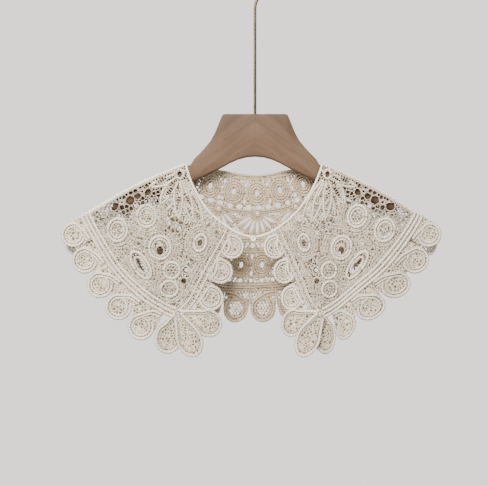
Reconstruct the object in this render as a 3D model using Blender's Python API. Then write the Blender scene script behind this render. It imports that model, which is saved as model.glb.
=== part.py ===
"""A guipure lace collar on a flat wooden hanger, hung by its hook.

Metres, +Z up, X to the right as the front is seen, -Y to the front.
The origin is the underside of the hook's crown. Sizes in the tables below
are millimetres and become metres where a mesh is made.
"""
import math

import bpy
import bmesh
from mathutils import Vector
from mathutils.geometry import delaunay_2d_cdt

MM = 0.001
SEAM = 0.3
TOUCH = 0.02

# Heights, down from the hook's crown
NECK_Z = -221.5
HANGER_TOP_Z = NECK_Z + 51.0

# The shoulder line: how far it drops, going out from the neck point
COLLAR_X = -1.0
NECK_HALF = 70.0
SHOULDER = [
    # out, drop
    (0.0, 0.0),
    (33.6, 13.7),
    (64.0, 28.4),
    (85.0, 40.5),
    (106.0, 53.2),
    (122.0, 61.6),
]
RIGHT_STRETCH = 0.96
RIGHT_SWING = 0.065

# The soft fold in the right front: how far it draws in, where, and how wide it is
TUCK = 7.5
TUCK_OUT = 70.0
TUCK_WIDTH = 34.0
TUCK_LENGTH = 100.0

# The lower half of the back hangs a little to the left
BACK_SWING = 0.05
BACK_SWING_FROM = 60.0

# How the cloth rolls over the shoulder and hangs
FOLD_RADIUS = 9.0
FOLD_RADIUS_TIP = 4.5
FOLD_NARROWS = (82.0, 112.0)
FLARE = 0.06
WAVE_DEPTH = 2.6
WAVE_LENGTH = 62.0
WAVE_SHIFT = 0.6
WAVE_EASE = 110.0

# Cloth
WALL = 1.8
EDGE_WALL = 2.6
BINDING_WIDTH = 2.8
BRAID_HALF = 5.4
INNER_BRAID_HALF = 4.2
HEM_BRAID_HALF = 4.0
RING_OUTER = 6.2
RING_HOLE = 2.9
RING_SIDES = 12
RIM_RISE = 1.0

# How finely the walls are divided
CURVE_STEPS = 8
BRAID_STEP = 7.5
NECK_STEP = 6.0
GRID = 20.0
GRID_TOP = 30.0
FOLD_STEP = 10.0
FOLD_ROWS = (0.34, 0.68, 1.02)
FRONT_FOLDS = (6.0, 98.0)
BACK_FOLDS = (6.0, 104.0)
BAND_FOLDS = (2.0, 5.0)
RIDGE_RISE = 4.0
RIDGE_OUTS = range(0, 110, 8)
CLOTH_REACH = 230.0
CLOTH_ABOVE = -60.0

# Rows of small gaps between the figures, and the room left round figures and edges
GAP_SIDES = 6
LARGE_GAP_SIDES = 8
GROUND_GAP = 2.25
GROUND_PITCH = 10.0
GROUND_START = (-60.0, 8.0)
GROUND_ROWS = 20
GROUND_COLUMNS = 22
OVAL_ROOM = 3.1
GAP_ROOM = 3.6
STAR_ROOM = 13.4
EDGE_ROOM = 3.9
RIDGE_ROOM = 9.0
ZONE_SIDES = 16

FRONT_NECKLINE = [
    # out, drop
    (0.0, 0.0),
    (-1.4, 7.5),
    (-7.4, 24.0),
    (-18.9, 44.1),
    (-33.0, 59.0),
    (-53.0, 72.3),
    (-69.7, 77.2),
]
NECK_OPENING = [Vector((-69.0, -30.0)), Vector((0.0, -30.0))]
OUTER_BRAID = [
    # out, drop
    (111.0, 44.0),
    (102.0, 63.0),
    (86.0, 90.3),
    (69.3, 114.5),
    (44.1, 137.6),
    (24.0, 151.0),
    (8.2, 158.2),
]
INNER_BRAID = [
    # out, drop
    (-46.5, 66.5),
    (-38.0, 83.0),
    (-29.0, 99.0),
    (-18.9, 117.6),
    (-5.3, 143.9),
    (8.2, 158.2),
]
POINT_RING = (8.2, 158.2)

# The ground's figures. Tilt leans the figure's foot towards the centre front.
FRONT_OVALS = [
    # out, drop, half width, half height, tilt, hole width, hole height
    (41.9, 56.3, 11.3, 13.0, 0.0, 2.3, 2.6),
    (72.0, 70.5, 11.3, 13.5, 0.0, 2.3, 2.6),
    (27.7, 89.0, 12.4, 13.2, 0.0, 3.4, 4.6),
    (15.5, 112.5, 9.0, 9.2, 0.0, 2.8, 2.8),
    (18.0, 131.8, 9.6, 8.8, 0.0, 2.6, 2.6),
    (47.5, 107.0, 8.0, 17.5, 33.0, 2.2, 9.0),
    (-14.0, 84.0, 6.6, 9.6, -16.0, 2.4, 3.8),
]
FRONT_GAPS = [
    # out, drop, half width, half height, tilt
    (7.4, 12.4, 2.4, 3.2, 0.0),
    (18.2, 31.0, 2.2, 7.0, -32.0),
    (8.6, 41.0, 2.2, 8.0, -8.0),
    (-2.4, 44.0, 2.2, 8.0, 12.0),
    (-11.5, 55.5, 2.2, 4.6, 24.0),
    (26.0, 18.6, 1.9, 5.0, -64.0),
    (41.0, 31.2, 3.4, 2.5, 20.0),
    (51.2, 35.6, 2.0, 3.6, -12.0),
    (59.2, 39.8, 4.0, 4.6, -15.0),
    (67.6, 47.4, 2.2, 1.9, 0.0),
    (76.0, 46.2, 3.8, 4.2, -15.0),
    (83.6, 49.0, 1.8, 3.2, -22.0),
    (88.4, 59.0, 2.5, 2.7, 0.0),
    (60.2, 55.6, 2.4, 2.4, 0.0),
    (32.5, 40.8, 2.5, 2.5, 0.0),
    (3.0, 123.5, 3.0, 3.0, 0.0),
    (1.0, 112.0, 2.8, 3.2, 0.0),
    (-32.0, 73.5, 3.0, 2.4, -35.0),
    (-22.0, 64.5, 2.4, 3.0, -35.0),
]
OVAL_SIDES = 10
OVAL_CREST = 0.80
LARGEST_OVAL = 20.0
STAR = (12.0, 65.5)
STAR_SPOKES = 8
STAR_REACH = 7.0
STAR_GAP = (2.05, 2.6)

# Petals run from the shoulder tip round the point to the centre front
FRONT_PETALS = [
    # out, drop, radius, length, tilt, layer
    (118.6, 75.5, 12.8, 1.0, 0.0, 0),
    (106.4, 102.0, 13.6, 1.0, 0.0, 0),
    (90.0, 127.4, 13.6, 1.0, 0.0, 0),
    (70.6, 150.2, 13.6, 1.0, 0.0, 0),
    (46.8, 170.4, 13.6, 1.0, 0.0, 0),
    (18.4, 182.0, 14.0, 1.18, -14.0, 0),
    (-22.6, 166.6, 13.6, 1.1, 38.0, 0),
    (-3.6, 183.6, 13.0, 1.45, 22.0, 1),
    (-25.2, 140.9, 13.0, 1.0, 0.0, 0),
    (-35.0, 113.4, 13.0, 1.0, 0.0, 0),
    (-46.8, 88.0, 12.6, 1.0, 0.0, 0),
]
POINT_PETALS = (6, 7, 8)
PETAL_SIDES = 11
FOOT_NECK = 0.97
FOOT_START = 0.4
FOOT_TOP = 1.06
FOOT_BASE = 1.0
END_FOOT_BASE = 0.6
POINT_BASE = 4.6
PETAL_CREST = 0.84
PETAL_FLOOR = 0.58
FLOOR_SIDES = 6
LAYER_STEP = WALL + RIM_RISE + 1.15

# The back, laid out in rows from the neck (0) to the hem braid (1)
BACK_NECK = [
    # out from the middle, drop
    (0.0, 12.0),
    (16.0, 10.8),
    (32.0, 7.4),
    (48.0, 5.8),
    (62.0, 5.4),
    (69.2, 4.2),
    (70.0, 0.0),
    (70.2, -4.0),
]
BACK_HEM_DROP = 131.5
BACK_HEM_OUT = 112.0
NECK_BAND = 6.5
BAND_RISE = 0.4
HEM_STEPS = 44
HEM_SPAN = 1.03
OVAL_SPAN = 0.97
BACK_OVAL_ROWS = [
    # row, how many, half width, half height of the hole in each oval, shift across
    (0.165, 7, 2.1, 3.6, 0.034),
    (0.80, 14, 2.1, 3.6, 0.0),
]
BACK_GAP_ROWS = [
    # row, how many, half width, half height, start and end across
    (0.288, 18, 2.4, 2.5, -0.9, 0.9),
    (0.625, 23, 2.2, 2.6, -0.93, 0.93),
    (0.937, 29, 2.1, 2.1, -0.955, 0.955),
]

# Fans below the upper ovals, whose gaps spread from a small ring
FANS = 5
FAN_ROW = 0.335
FAN_STEP = 0.38
FAN_SHIFT = 0.03
FAN_ANGLES = (-60.0, -40.0, -20.0, 0.0, 20.0, 40.0, 60.0)
FAN_REACH = 15.5
FAN_GAP = (1.5, 7.2)

BACK_PETALS = 14
BACK_PETAL_RADIUS = 13.0
BACK_PETAL_LENGTH = 1.16
BACK_PETAL_STEP = 22.5
BACK_PETAL_SPAN = 1.01

# Hanger: a row for each section of one half, heights from the neck point
SEAM_HALF = 0.15
BOARD_HALF = 6.0
ARM_CLEAR = 0.5
BOARD_SECTIONS = [
    # out from the middle, top, bottom, edge round
    (SEAM_HALF, 51.0, 6.8, 1.6),
    (9.0, 51.0, 6.1, 1.6),
    (18.0, 51.0, 3.7, 1.6),
    (26.0, 51.0, 0.1, 1.6),
    (32.2, 51.0, -3.3, 1.6),
    (34.4, 49.6, -4.5, 1.6),
    (38.0, 41.0, -6.5, 1.8),
    (42.0, 31.2, -8.6, 2.0),
    (46.5, 23.0, -10.9, 2.4),
    (53.0, 15.2, -14.2, 3.0),
    (59.5, 8.6, -17.9, 4.0),
    (64.0, 4.2, -20.6, 5.0),
]
ARM_SECTIONS = [
    # out from the middle, depth of the arm, half thickness
    (67.6, 21.0, 6.0),
    (74.0, 21.0, 6.0),
    (90.0, 20.5, 6.0),
    (108.0, 18.0, 6.0),
    (126.0, 15.5, 6.0),
    (142.0, 13.0, 5.6),
    (148.5, 9.0, 4.6),
]
ARM_ROUND = 5.0
ROD_RADIUS = 1.5
HOOK_INNER = 20.0
HOOK_START = -40.0
HOOK_END = 212.0
HOOK_STEPS = 16
BEND_FOOT_Z = -60.0
BEND_STEPS = 6

# The closing at the middle of the neck edge
BUTTON = (-0.6, 79.5)
BUTTON_RADIUS = 2.9
BUTTON_HOLE = 0.9
BUTTON_THICK = 1.8

COLOURS = {
    # red, green, blue, roughness, metallic
    "lace": (0.80, 0.75, 0.67, 0.85, 0.0),
    "wood": (0.62, 0.44, 0.31, 0.55, 0.0),
    "brass": (0.62, 0.46, 0.26, 0.30, 1.0),
    "button": (0.86, 0.82, 0.75, 0.40, 0.0),
}


def material(name):
    found = bpy.data.materials.get(name)
    if found:
        return found
    made = bpy.data.materials.new(name)
    made.use_nodes = True
    shader = made.node_tree.nodes["Principled BSDF"]
    red, green, blue, roughness, metallic = COLOURS[name]
    shader.inputs["Base Color"].default_value = (red, green, blue, 1.0)
    shader.inputs["Roughness"].default_value = roughness
    shader.inputs["Metallic"].default_value = metallic
    return made


def add_object(name, mesh, finish):
    mesh.materials.append(material(finish))
    mesh.shade_smooth()
    mesh.set_sharp_from_angle(angle=math.radians(40))
    made = bpy.data.objects.new(name, mesh)
    bpy.context.scene.collection.objects.link(made)
    return made


# Curves and outlines in the flat

def curve_through(table, steps):
    """Points on a smooth curve through the table's rows."""
    rows = [Vector(row) for row in table]
    ends = [2 * rows[0] - rows[1]] + rows + [2 * rows[-1] - rows[-2]]
    points = []
    for before, start, end, after in zip(ends, ends[1:], ends[2:], ends[3:]):
        for step in range(steps):
            t = step / steps
            points.append(0.5 * (2 * start + (end - before) * t
                                 + (2 * before - 5 * start + 4 * end - after) * t * t
                                 + (3 * start - before - 3 * end + after) * t ** 3))
    return points + [rows[-1]]


def resample(points, spacing):
    """The same path with even steps of about the given length."""
    lengths = [0.0]
    for start, end in zip(points, points[1:]):
        lengths.append(lengths[-1] + (end - start).length)
    count = max(2, round(lengths[-1] / spacing))
    even = []
    piece = 0
    for index in range(count + 1):
        along = lengths[-1] * index / count
        while piece < len(points) - 2 and lengths[piece + 1] < along:
            piece += 1
        share = (along - lengths[piece]) / (lengths[piece + 1] - lengths[piece])
        even.append(points[piece].lerp(points[piece + 1], min(1.0, share)))
    return even


def beside(points, offset):
    """A line beside a path, to its left where the offset is positive."""
    shifted = []
    for index, point in enumerate(points):
        ahead = points[min(index + 1, len(points) - 1)]
        behind = points[max(index - 1, 0)]
        way = (ahead - behind).normalized()
        shifted.append(point + offset * Vector((-way.y, way.x)))
    return shifted


def band_outline(path, half):
    return beside(path, -half) + list(reversed(beside(path, half)))


def oval(out, drop, half_width, half_height, tilt=0.0, sides=OVAL_SIDES, grow=0.0):
    turn = math.radians(tilt)
    points = []
    for side in range(sides):
        angle = math.tau * (side + 0.5) / sides
        across = (half_width + grow) * math.cos(angle)
        along = (half_height + grow) * math.sin(angle)
        points.append(Vector((out + across * math.cos(turn) - along * math.sin(turn),
                              drop + across * math.sin(turn) + along * math.cos(turn))))
    return points


def inside(point, outline):
    hit = False
    for start, end in zip(outline, outline[1:] + outline[:1]):
        if (start.y > point.y) != (end.y > point.y):
            cross = start.x + (point.y - start.y) * (end.x - start.x) / (end.y - start.y)
            hit ^= point.x < cross
    return hit


def distance_to(point, path):
    nearest = math.inf
    for start, end in zip(path, path[1:]):
        way = end - start
        share = max(0.0, min(1.0, (point - start).dot(way) / max(way.length_squared, 1e-9)))
        nearest = min(nearest, (point - start - share * way).length)
    return nearest


# The hung cloth: flat layout points become points in space

SHOULDER_CURVE = curve_through(SHOULDER, 6)


def shoulder_line(out):
    """The smooth drop of the shoulder line at a distance out from the neck point."""
    if out <= 0.0:
        return 0.0
    for start, end in zip(SHOULDER_CURVE, SHOULDER_CURVE[1:]):
        if out <= end.x:
            return start.y + (end.y - start.y) * (out - start.x) / (end.x - start.x)
    start, end = SHOULDER_CURVE[-2:]
    return end.y + (end.y - start.y) / (end.x - start.x) * (out - end.x)


def fold_radius(out):
    start, end = FOLD_NARROWS
    share = max(0.0, min(1.0, (out - start) / (end - start)))
    share = share * share * (3 - 2 * share)
    return FOLD_RADIUS + (FOLD_RADIUS_TIP - FOLD_RADIUS) * share


def down_the_cloth(out, drop):
    """Length down the cloth from the shoulder line, from the drop as seen in front."""
    radius = fold_radius(out)
    below = drop - shoulder_line(out)
    if below <= 0.0:
        return below
    if below < radius:
        return radius * math.acos(1.0 - below / radius)
    return radius * math.pi / 2 + below - radius


def cloth_point(x, length, face, lift):
    """A point of the hung cloth: face is -1 in front and 1 behind, lift is outwards."""
    def middle(x, length):
        stretch = RIGHT_STRETCH if x > 0 else 1.0
        out = (abs(x) - NECK_HALF) / stretch
        radius = fold_radius(out)
        quarter = radius * math.pi / 2
        if length < quarter:
            depth = radius * math.sin(length / radius)
            below = radius * (1.0 - math.cos(length / radius))
        else:
            hung = length - quarter
            wave = math.sin(math.tau * x / WAVE_LENGTH + WAVE_SHIFT)
            ease = min(1.0, hung / WAVE_EASE) ** 2
            depth = radius + FLARE * hung + WAVE_DEPTH * wave * ease
            below = radius + hung
        swing = BACK_SWING * max(0.0, below - BACK_SWING_FROM) if face > 0 else 0.0
        if face < 0 and x > 0:
            swing = RIGHT_SWING * below * min(1.0, x / NECK_HALF)
            swing += TUCK * (below / TUCK_LENGTH) ** 2 * math.exp(-((out - TUCK_OUT) / TUCK_WIDTH) ** 2)
        return Vector((x - swing, face * depth, NECK_Z - shoulder_line(out) - below))

    x = x or 0.001
    here = middle(x, length)
    small = 0.05
    across = middle(x + small, length) - middle(x - small, length)
    down = middle(x, length + small) - middle(x, length - small)
    normal = down.cross(across).normalized()
    if face > 0:
        normal.negate()
    return here + lift * normal + Vector((COLLAR_X, 0.0, 0.0))


def laid(points, side):
    """Layout points (out, drop) of one side as (x, length down the cloth)."""
    sign, right_stretch = (-1.0, 1.0) if side == "left" else (1.0, RIGHT_STRETCH)
    flat = []
    for out, drop in points:
        stretch = right_stretch if out > 0 else 1.0
        flat.append(Vector((sign * (NECK_HALF + out * stretch), down_the_cloth(out, drop))))
    return flat


def petal_foot(centre, radius, path, base=None):
    """The stem of a petal, from its middle to the nearest point of the edge it grows on."""
    base = base or radius * FOOT_BASE
    nearest = min(path, key=lambda point: (point - centre).length)
    way = (nearest - centre).normalized()
    side = Vector((-way.y, way.x))
    shoulder = centre + way * radius * FOOT_START
    return [centre + side * radius * FOOT_NECK, shoulder + side * radius * FOOT_TOP,
            nearest + side * base, nearest - side * base,
            shoulder - side * radius * FOOT_TOP, centre - side * radius * FOOT_NECK]


def area_of(outline):
    return sum(a.x * b.y - b.x * a.y for a, b in zip(outline, outline[1:] + outline[:1])) / 2


def triangulate(keep, cuts, lines, spots):
    """Triangles that lie in any outline of keep and in none of cuts."""
    points = []
    edges = []
    faces = []
    for outline in keep + cuts:
        turned = outline if area_of(outline) > 0 else outline[::-1]
        faces.append(list(range(len(points), len(points) + len(turned))))
        points += turned
    for line in lines:
        edges += [(len(points) + step, len(points) + step + 1) for step in range(len(line) - 1)]
        points += line
    points += spots
    found, _, triangles, _, _, sources = delaunay_2d_cdt(points, edges, faces, 1, 1e-3, True)
    kept = [triangle for triangle, source in zip(triangles, sources)
            if any(index < len(keep) for index in source)
            and not any(index >= len(keep) for index in source)]
    return found, kept


def border_loops(triangles):
    """The closed borders of a set of triangles, as loops of corner numbers."""
    sides = {side for triangle in triangles
             for side in zip(triangle, triangle[1:] + triangle[:1])}
    following = {start: end for start, end in sides if (end, start) not in sides}
    loops = []
    while following:
        start, corner = following.popitem()
        loop = [start]
        while corner != start:
            loop.append(corner)
            corner = following.pop(corner)
        loops.append(loop)
    return loops


def plain_side(found, loops, spots):
    """Fewer triangles over the same borders, for the inside of a wall."""
    owners = [corner for loop in loops for corner in loop]
    points = [found[corner] for corner in owners] + spots
    faces = []
    first = 0
    for loop in loops:
        face = list(range(first, first + len(loop)))
        faces.append(face if area_of([found[corner] for corner in loop]) > 0 else face[::-1])
        first += len(loop)
    flat, _, triangles, origins, _, sources = delaunay_2d_cdt(points, [], faces, 1, 1e-4, True)
    names = [next((owners[index] for index in origin if index < len(owners)), None)
             for origin in origins]
    return flat, names, [triangle for triangle, source in zip(triangles, sources)
                         if len(source) % 2]


def wall(name, keep, cuts, face, inner, outer, lines=(), spots=(), relief=None, finish="lace"):
    """A closed wall over a flat region of the cloth, its outer side raised by relief."""
    mesh = bmesh.new()
    found, triangles = triangulate(keep, cuts, list(lines), list(spots))
    loops = border_loops(triangles)
    outside = {}
    for corner in sorted({corner for triangle in triangles for corner in triangle}):
        rise = relief(found[corner]) if relief else 0.0
        outside[corner] = mesh.verts.new(MM * cloth_point(*found[corner], face, outer + rise))
    flat, names, back_triangles = plain_side(found, loops, list(spots))
    within = {}
    behind = {}
    for corner in sorted({corner for triangle in back_triangles for corner in triangle}):
        behind[corner] = mesh.verts.new(MM * cloth_point(*flat[corner], face, inner))
        if names[corner] is not None:
            within[names[corner]] = behind[corner]
    for triangle in triangles:
        mesh.faces.new([outside[corner] for corner in triangle])
    for triangle in back_triangles:
        mesh.faces.new([behind[corner] for corner in triangle[::-1]])
    for loop in loops:
        for start, end in zip(loop, loop[1:] + loop[:1]):
            mesh.faces.new([outside[end], outside[start], within[start], within[end]])
    bmesh.ops.triangulate(mesh, faces=mesh.faces)
    if mesh.calc_volume(signed=True) < 0.0:
        bmesh.ops.reverse_faces(mesh, faces=mesh.faces)
    made = bpy.data.meshes.new(name)
    mesh.to_mesh(made)
    mesh.free()
    return add_object(name, made, finish)


def spots_in(outline):
    """Grid points inside an outline that let its wall follow the hung cloth."""
    low_x, high_x = min(p.x for p in outline), max(p.x for p in outline)
    high_y = max(p.y for p in outline)
    spots = []
    for row in range(math.ceil((high_y - GRID_TOP) / GRID)):
        for step in range(math.ceil((high_x - low_x) / GRID)):
            point = Vector((low_x + GRID * (step + 0.5 + 0.5 * (row % 2)), GRID_TOP + GRID * row))
            if inside(point, outline) and distance_to(point, outline + outline[:1]) > GRID / 4:
                spots.append(point)
    return spots


def fold_spots(low_out, high_out, signs):
    """Rows of points round the shoulder fold."""
    spots = []
    count = max(1, round((high_out - low_out) / FOLD_STEP))
    for sign in signs:
        stretch = RIGHT_STRETCH if sign > 0 else 1.0
        for index in range(count + 1):
            out = low_out + (high_out - low_out) * index / count
            x = sign * (NECK_HALF + out * stretch)
            spots += [Vector((x, share * fold_radius(out) * math.pi / 2)) for share in FOLD_ROWS]
    return spots


# Fronts

def above_shoulder():
    """The region above the shoulder seam, which every panel leaves free."""
    count = round(2 * CLOTH_REACH / FOLD_STEP)
    seam = [Vector((CLOTH_REACH - FOLD_STEP * index, SEAM / 2)) for index in range(count + 1)]
    return [Vector((-CLOTH_REACH, CLOTH_ABOVE)), Vector((CLOTH_REACH, CLOTH_ABOVE))] + seam


def front_layout():
    """The paths that the pieces of one front share, and the outline of its ground."""
    outer = resample(curve_through(OUTER_BRAID, CURVE_STEPS), BRAID_STEP)
    inner = resample(curve_through(INNER_BRAID, CURVE_STEPS), BRAID_STEP)
    neck = resample(curve_through(FRONT_NECKLINE, CURVE_STEPS), NECK_STEP)
    ridge = [Vector((out, shoulder_line(out) - RIDGE_RISE)) for out in RIDGE_OUTS]
    start = next(index for index, point in enumerate(neck) if point.x < inner[0].x)
    ground = ridge + outer + inner[::-1] + neck[start - 1::-1]
    return outer, inner, neck, ridge, ground


def ring_outline(grow=0.0):
    return oval(*POINT_RING, RING_OUTER, RING_OUTER, 0.0, RING_SIDES, grow)


def binding_band(neck, grow=0.0):
    """The strip of the rolled neck edge, just outside the neckline."""
    return beside(neck, grow) + list(reversed(beside(neck, -BINDING_WIDTH - grow)))


def front_gaps(paths, ground):
    """The gaps of a front: those of the tables, the star's, and rows over the rest."""
    gaps = [oval(*row, sides=LARGE_GAP_SIDES) for row in FRONT_GAPS]
    gaps += [oval(row[0], row[1], row[5], row[6], row[4], LARGE_GAP_SIDES) for row in FRONT_OVALS]
    for spoke in range(STAR_SPOKES):
        angle = math.tau * spoke / STAR_SPOKES
        gaps.append(oval(STAR[0] + STAR_REACH * math.sin(angle),
                         STAR[1] - STAR_REACH * math.cos(angle),
                         *STAR_GAP, math.degrees(angle), GAP_SIDES))
    figures = [(row[0], row[1], row[2] + OVAL_ROOM, row[3] + OVAL_ROOM, row[4]) for row in FRONT_OVALS]
    figures += [(row[0], row[1], row[2] + GAP_ROOM, row[3] + GAP_ROOM, row[4]) for row in FRONT_GAPS]
    figures.append((*STAR, STAR_ROOM, STAR_ROOM, 0.0))
    zones = [oval(*figure, sides=ZONE_SIDES) for figure in figures]
    for row in range(GROUND_ROWS):
        for step in range(GROUND_COLUMNS):
            point = Vector((GROUND_START[0] + GROUND_PITCH * (step + 0.5 * (row % 2)),
                            GROUND_START[1] + GROUND_PITCH * math.sqrt(0.75) * row))
            if not inside(point, ground) or any(inside(point, zone) for zone in zones):
                continue
            if any(distance_to(point, path) < room for path, room in paths):
                continue
            gaps.append(oval(point.x, point.y, GROUND_GAP, GROUND_GAP, 0.0, GAP_SIDES))
    return gaps


def build_front(side):
    outer, inner, neck, ridge, ground = front_layout()
    outer_band = laid(band_outline(outer, BRAID_HALF), side)
    outer_grown = laid(band_outline(outer, BRAID_HALF + SEAM), side)
    inner_band = laid(band_outline(inner, INNER_BRAID_HALF), side)
    inner_grown = laid(band_outline(inner, INNER_BRAID_HALF + SEAM), side)
    ring = laid(ring_outline(), side)
    ring_grown = laid(ring_outline(SEAM), side)
    binding = laid(binding_band(neck), side)
    binding_grown = laid(binding_band(neck, SEAM), side)
    opening = laid(neck + NECK_OPENING, side)
    top = above_shoulder()

    gaps = front_gaps([(outer, BRAID_HALF + EDGE_ROOM), (inner, INNER_BRAID_HALF + EDGE_ROOM),
                       (neck, BINDING_WIDTH + EDGE_ROOM), (ridge, RIDGE_ROOM)], ground)
    centres = laid([Vector(row[:2]) for row in FRONT_OVALS], side)
    rings = [laid(oval(row[0], row[1], row[2] * OVAL_CREST, row[3] * OVAL_CREST, row[4]), side)
             for row in FRONT_OVALS]

    def oval_relief(point):
        for centre, ring_points in zip(centres, rings):
            near = (point - centre).length < LARGEST_OVAL
            if near and min((point - spot).length for spot in ring_points) < TOUCH:
                return RIM_RISE
        return 0.0

    lines = [laid(oval(*row[:5]), side) for row in FRONT_OVALS] + rings
    lines = [points + points[:1] for points in lines]
    laid_ground = laid(ground, side)
    folds = fold_spots(*FRONT_FOLDS, (-1.0,) if side == "left" else (1.0,))
    half = WALL / 2
    wall(f"front_{side}", [laid_ground],
         [outer_grown, inner_grown, ring_grown, binding_grown, top]
         + [laid(gap, side) for gap in gaps],
         -1, -half, half, lines, spots_in(laid_ground) + folds, oval_relief)

    def braid_relief(path, half_width):
        laid_path = laid(path, side)

        def rise(point):
            share = distance_to(point, laid_path) / half_width
            return RIM_RISE * max(0.0, math.sin(math.pi * min(1.0, share)))
        return rise

    for name, path, band, half_width in (("outer_braid", outer, outer_band, BRAID_HALF),
                                         ("inner_braid", inner, inner_band, INNER_BRAID_HALF)):
        crests = [laid(beside(path[1:-1], offset), side)
                  for offset in (-half_width / 2, 0.0, half_width / 2)]
        cuts = [ring_grown, top]
        if name == "inner_braid":
            cuts += [outer_grown, binding_grown, opening]
        wall(f"{name}_{side}", [band], cuts, -1, -half, half, crests, (),
             braid_relief(path, half_width))
    ring_hole = laid(oval(*POINT_RING, RING_HOLE, RING_HOLE, 0.0, RING_SIDES), side)
    wall(f"point_ring_{side}", [ring], [ring_hole], -1, -half, half + RIM_RISE)
    wall(f"neck_binding_{side}", [binding], [top], -1, -EDGE_WALL / 2, EDGE_WALL / 2)

    placed = []
    for number, (out, drop, radius, length, tilt, layer) in enumerate(FRONT_PETALS, 1):
        shape = (out, drop, radius, radius * length, tilt, PETAL_SIDES)
        petal = laid(oval(*shape), side)
        crest = laid(oval(out, drop, radius * PETAL_CREST, radius * length * PETAL_CREST,
                          tilt, PETAL_SIDES), side)
        floor = laid(oval(out, drop, radius * PETAL_FLOOR, radius * length * PETAL_FLOOR,
                          tilt, FLOOR_SIDES), side)
        if number in POINT_PETALS:
            path, base = [Vector(POINT_RING)], POINT_BASE
        else:
            path, base = (outer if out > POINT_RING[0] else inner), radius * FOOT_BASE
        foot = laid(petal_foot(Vector((out, drop)), radius, path, base), side)
        cuts = [outer_grown, inner_grown, ring_grown, binding_grown, opening, top]
        cuts += [grown for placed_one, other in placed if other == layer for grown in placed_one]
        if layer:
            cuts = []

        def petal_relief(point, crest=crest):
            near = min((point - spot).length for spot in crest)
            return RIM_RISE if near < TOUCH else 0.0

        lift = layer * LAYER_STEP
        wall(f"petal_{side}_{number:02d}", [petal, foot], cuts, -1, lift - half, lift + half,
             [crest + crest[:1], floor + floor[:1]], (), petal_relief)
        wide_foot = petal_foot(Vector((out, drop)), radius + 1.5 * SEAM, path, base + SEAM)
        placed.append(([laid(oval(*shape, grow=SEAM), side), laid(wide_foot, side)], layer))


# Back

BACK_NECK_CURVE = curve_through(BACK_NECK, 6)


def back_neck_path():
    """The back neckline from the left shoulder to the right one."""
    half = BACK_NECK_CURVE[::2]
    return [Vector((-point.x, point.y)) for point in half[:0:-1]] + half


def back_neck_drop(across):
    reach = abs(across) * NECK_HALF
    for start, end in zip(BACK_NECK_CURVE, BACK_NECK_CURVE[1:]):
        if reach <= end.x:
            return start.y + (end.y - start.y) * (reach - start.x) / (end.x - start.x)
    return 0.0


def back_point(across, row):
    """Layout of the back: across runs from -1 to 1, row from the neck to the hem braid."""
    out = row * BACK_HEM_OUT
    half_width = NECK_HALF + out
    top = shoulder_line(out)
    round_share = 1.0 - across * across
    centre = BACK_NECK[0][1] + row * (BACK_HEM_DROP - BACK_NECK[0][1])
    drop = top + (centre - top) * round_share
    drop += (1.0 - row) * (back_neck_drop(across) - BACK_NECK[0][1] * round_share)
    return Vector((across * half_width, drop))


def laid_back(points):
    flat = []
    for point in points:
        stretch = RIGHT_STRETCH if point.x > 0 else 1.0
        out = abs(point.x) - NECK_HALF
        x = point.x if out <= 0 else math.copysign(NECK_HALF + out * stretch, point.x)
        flat.append(Vector((x, down_the_cloth(out, point.y))))
    return flat


def back_lean(across, row):
    """The way along a row of the back, and its slope in degrees."""
    way = (back_point(across + 0.01, row) - back_point(across - 0.01, row)).normalized()
    return way, math.degrees(math.atan2(way.y, way.x))


def back_figure(across, row, half_width, half_height):
    """An oval that leans with the row it stands on."""
    return oval(*back_point(across, row), half_width, half_height, back_lean(across, row)[1], GAP_SIDES)


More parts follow.
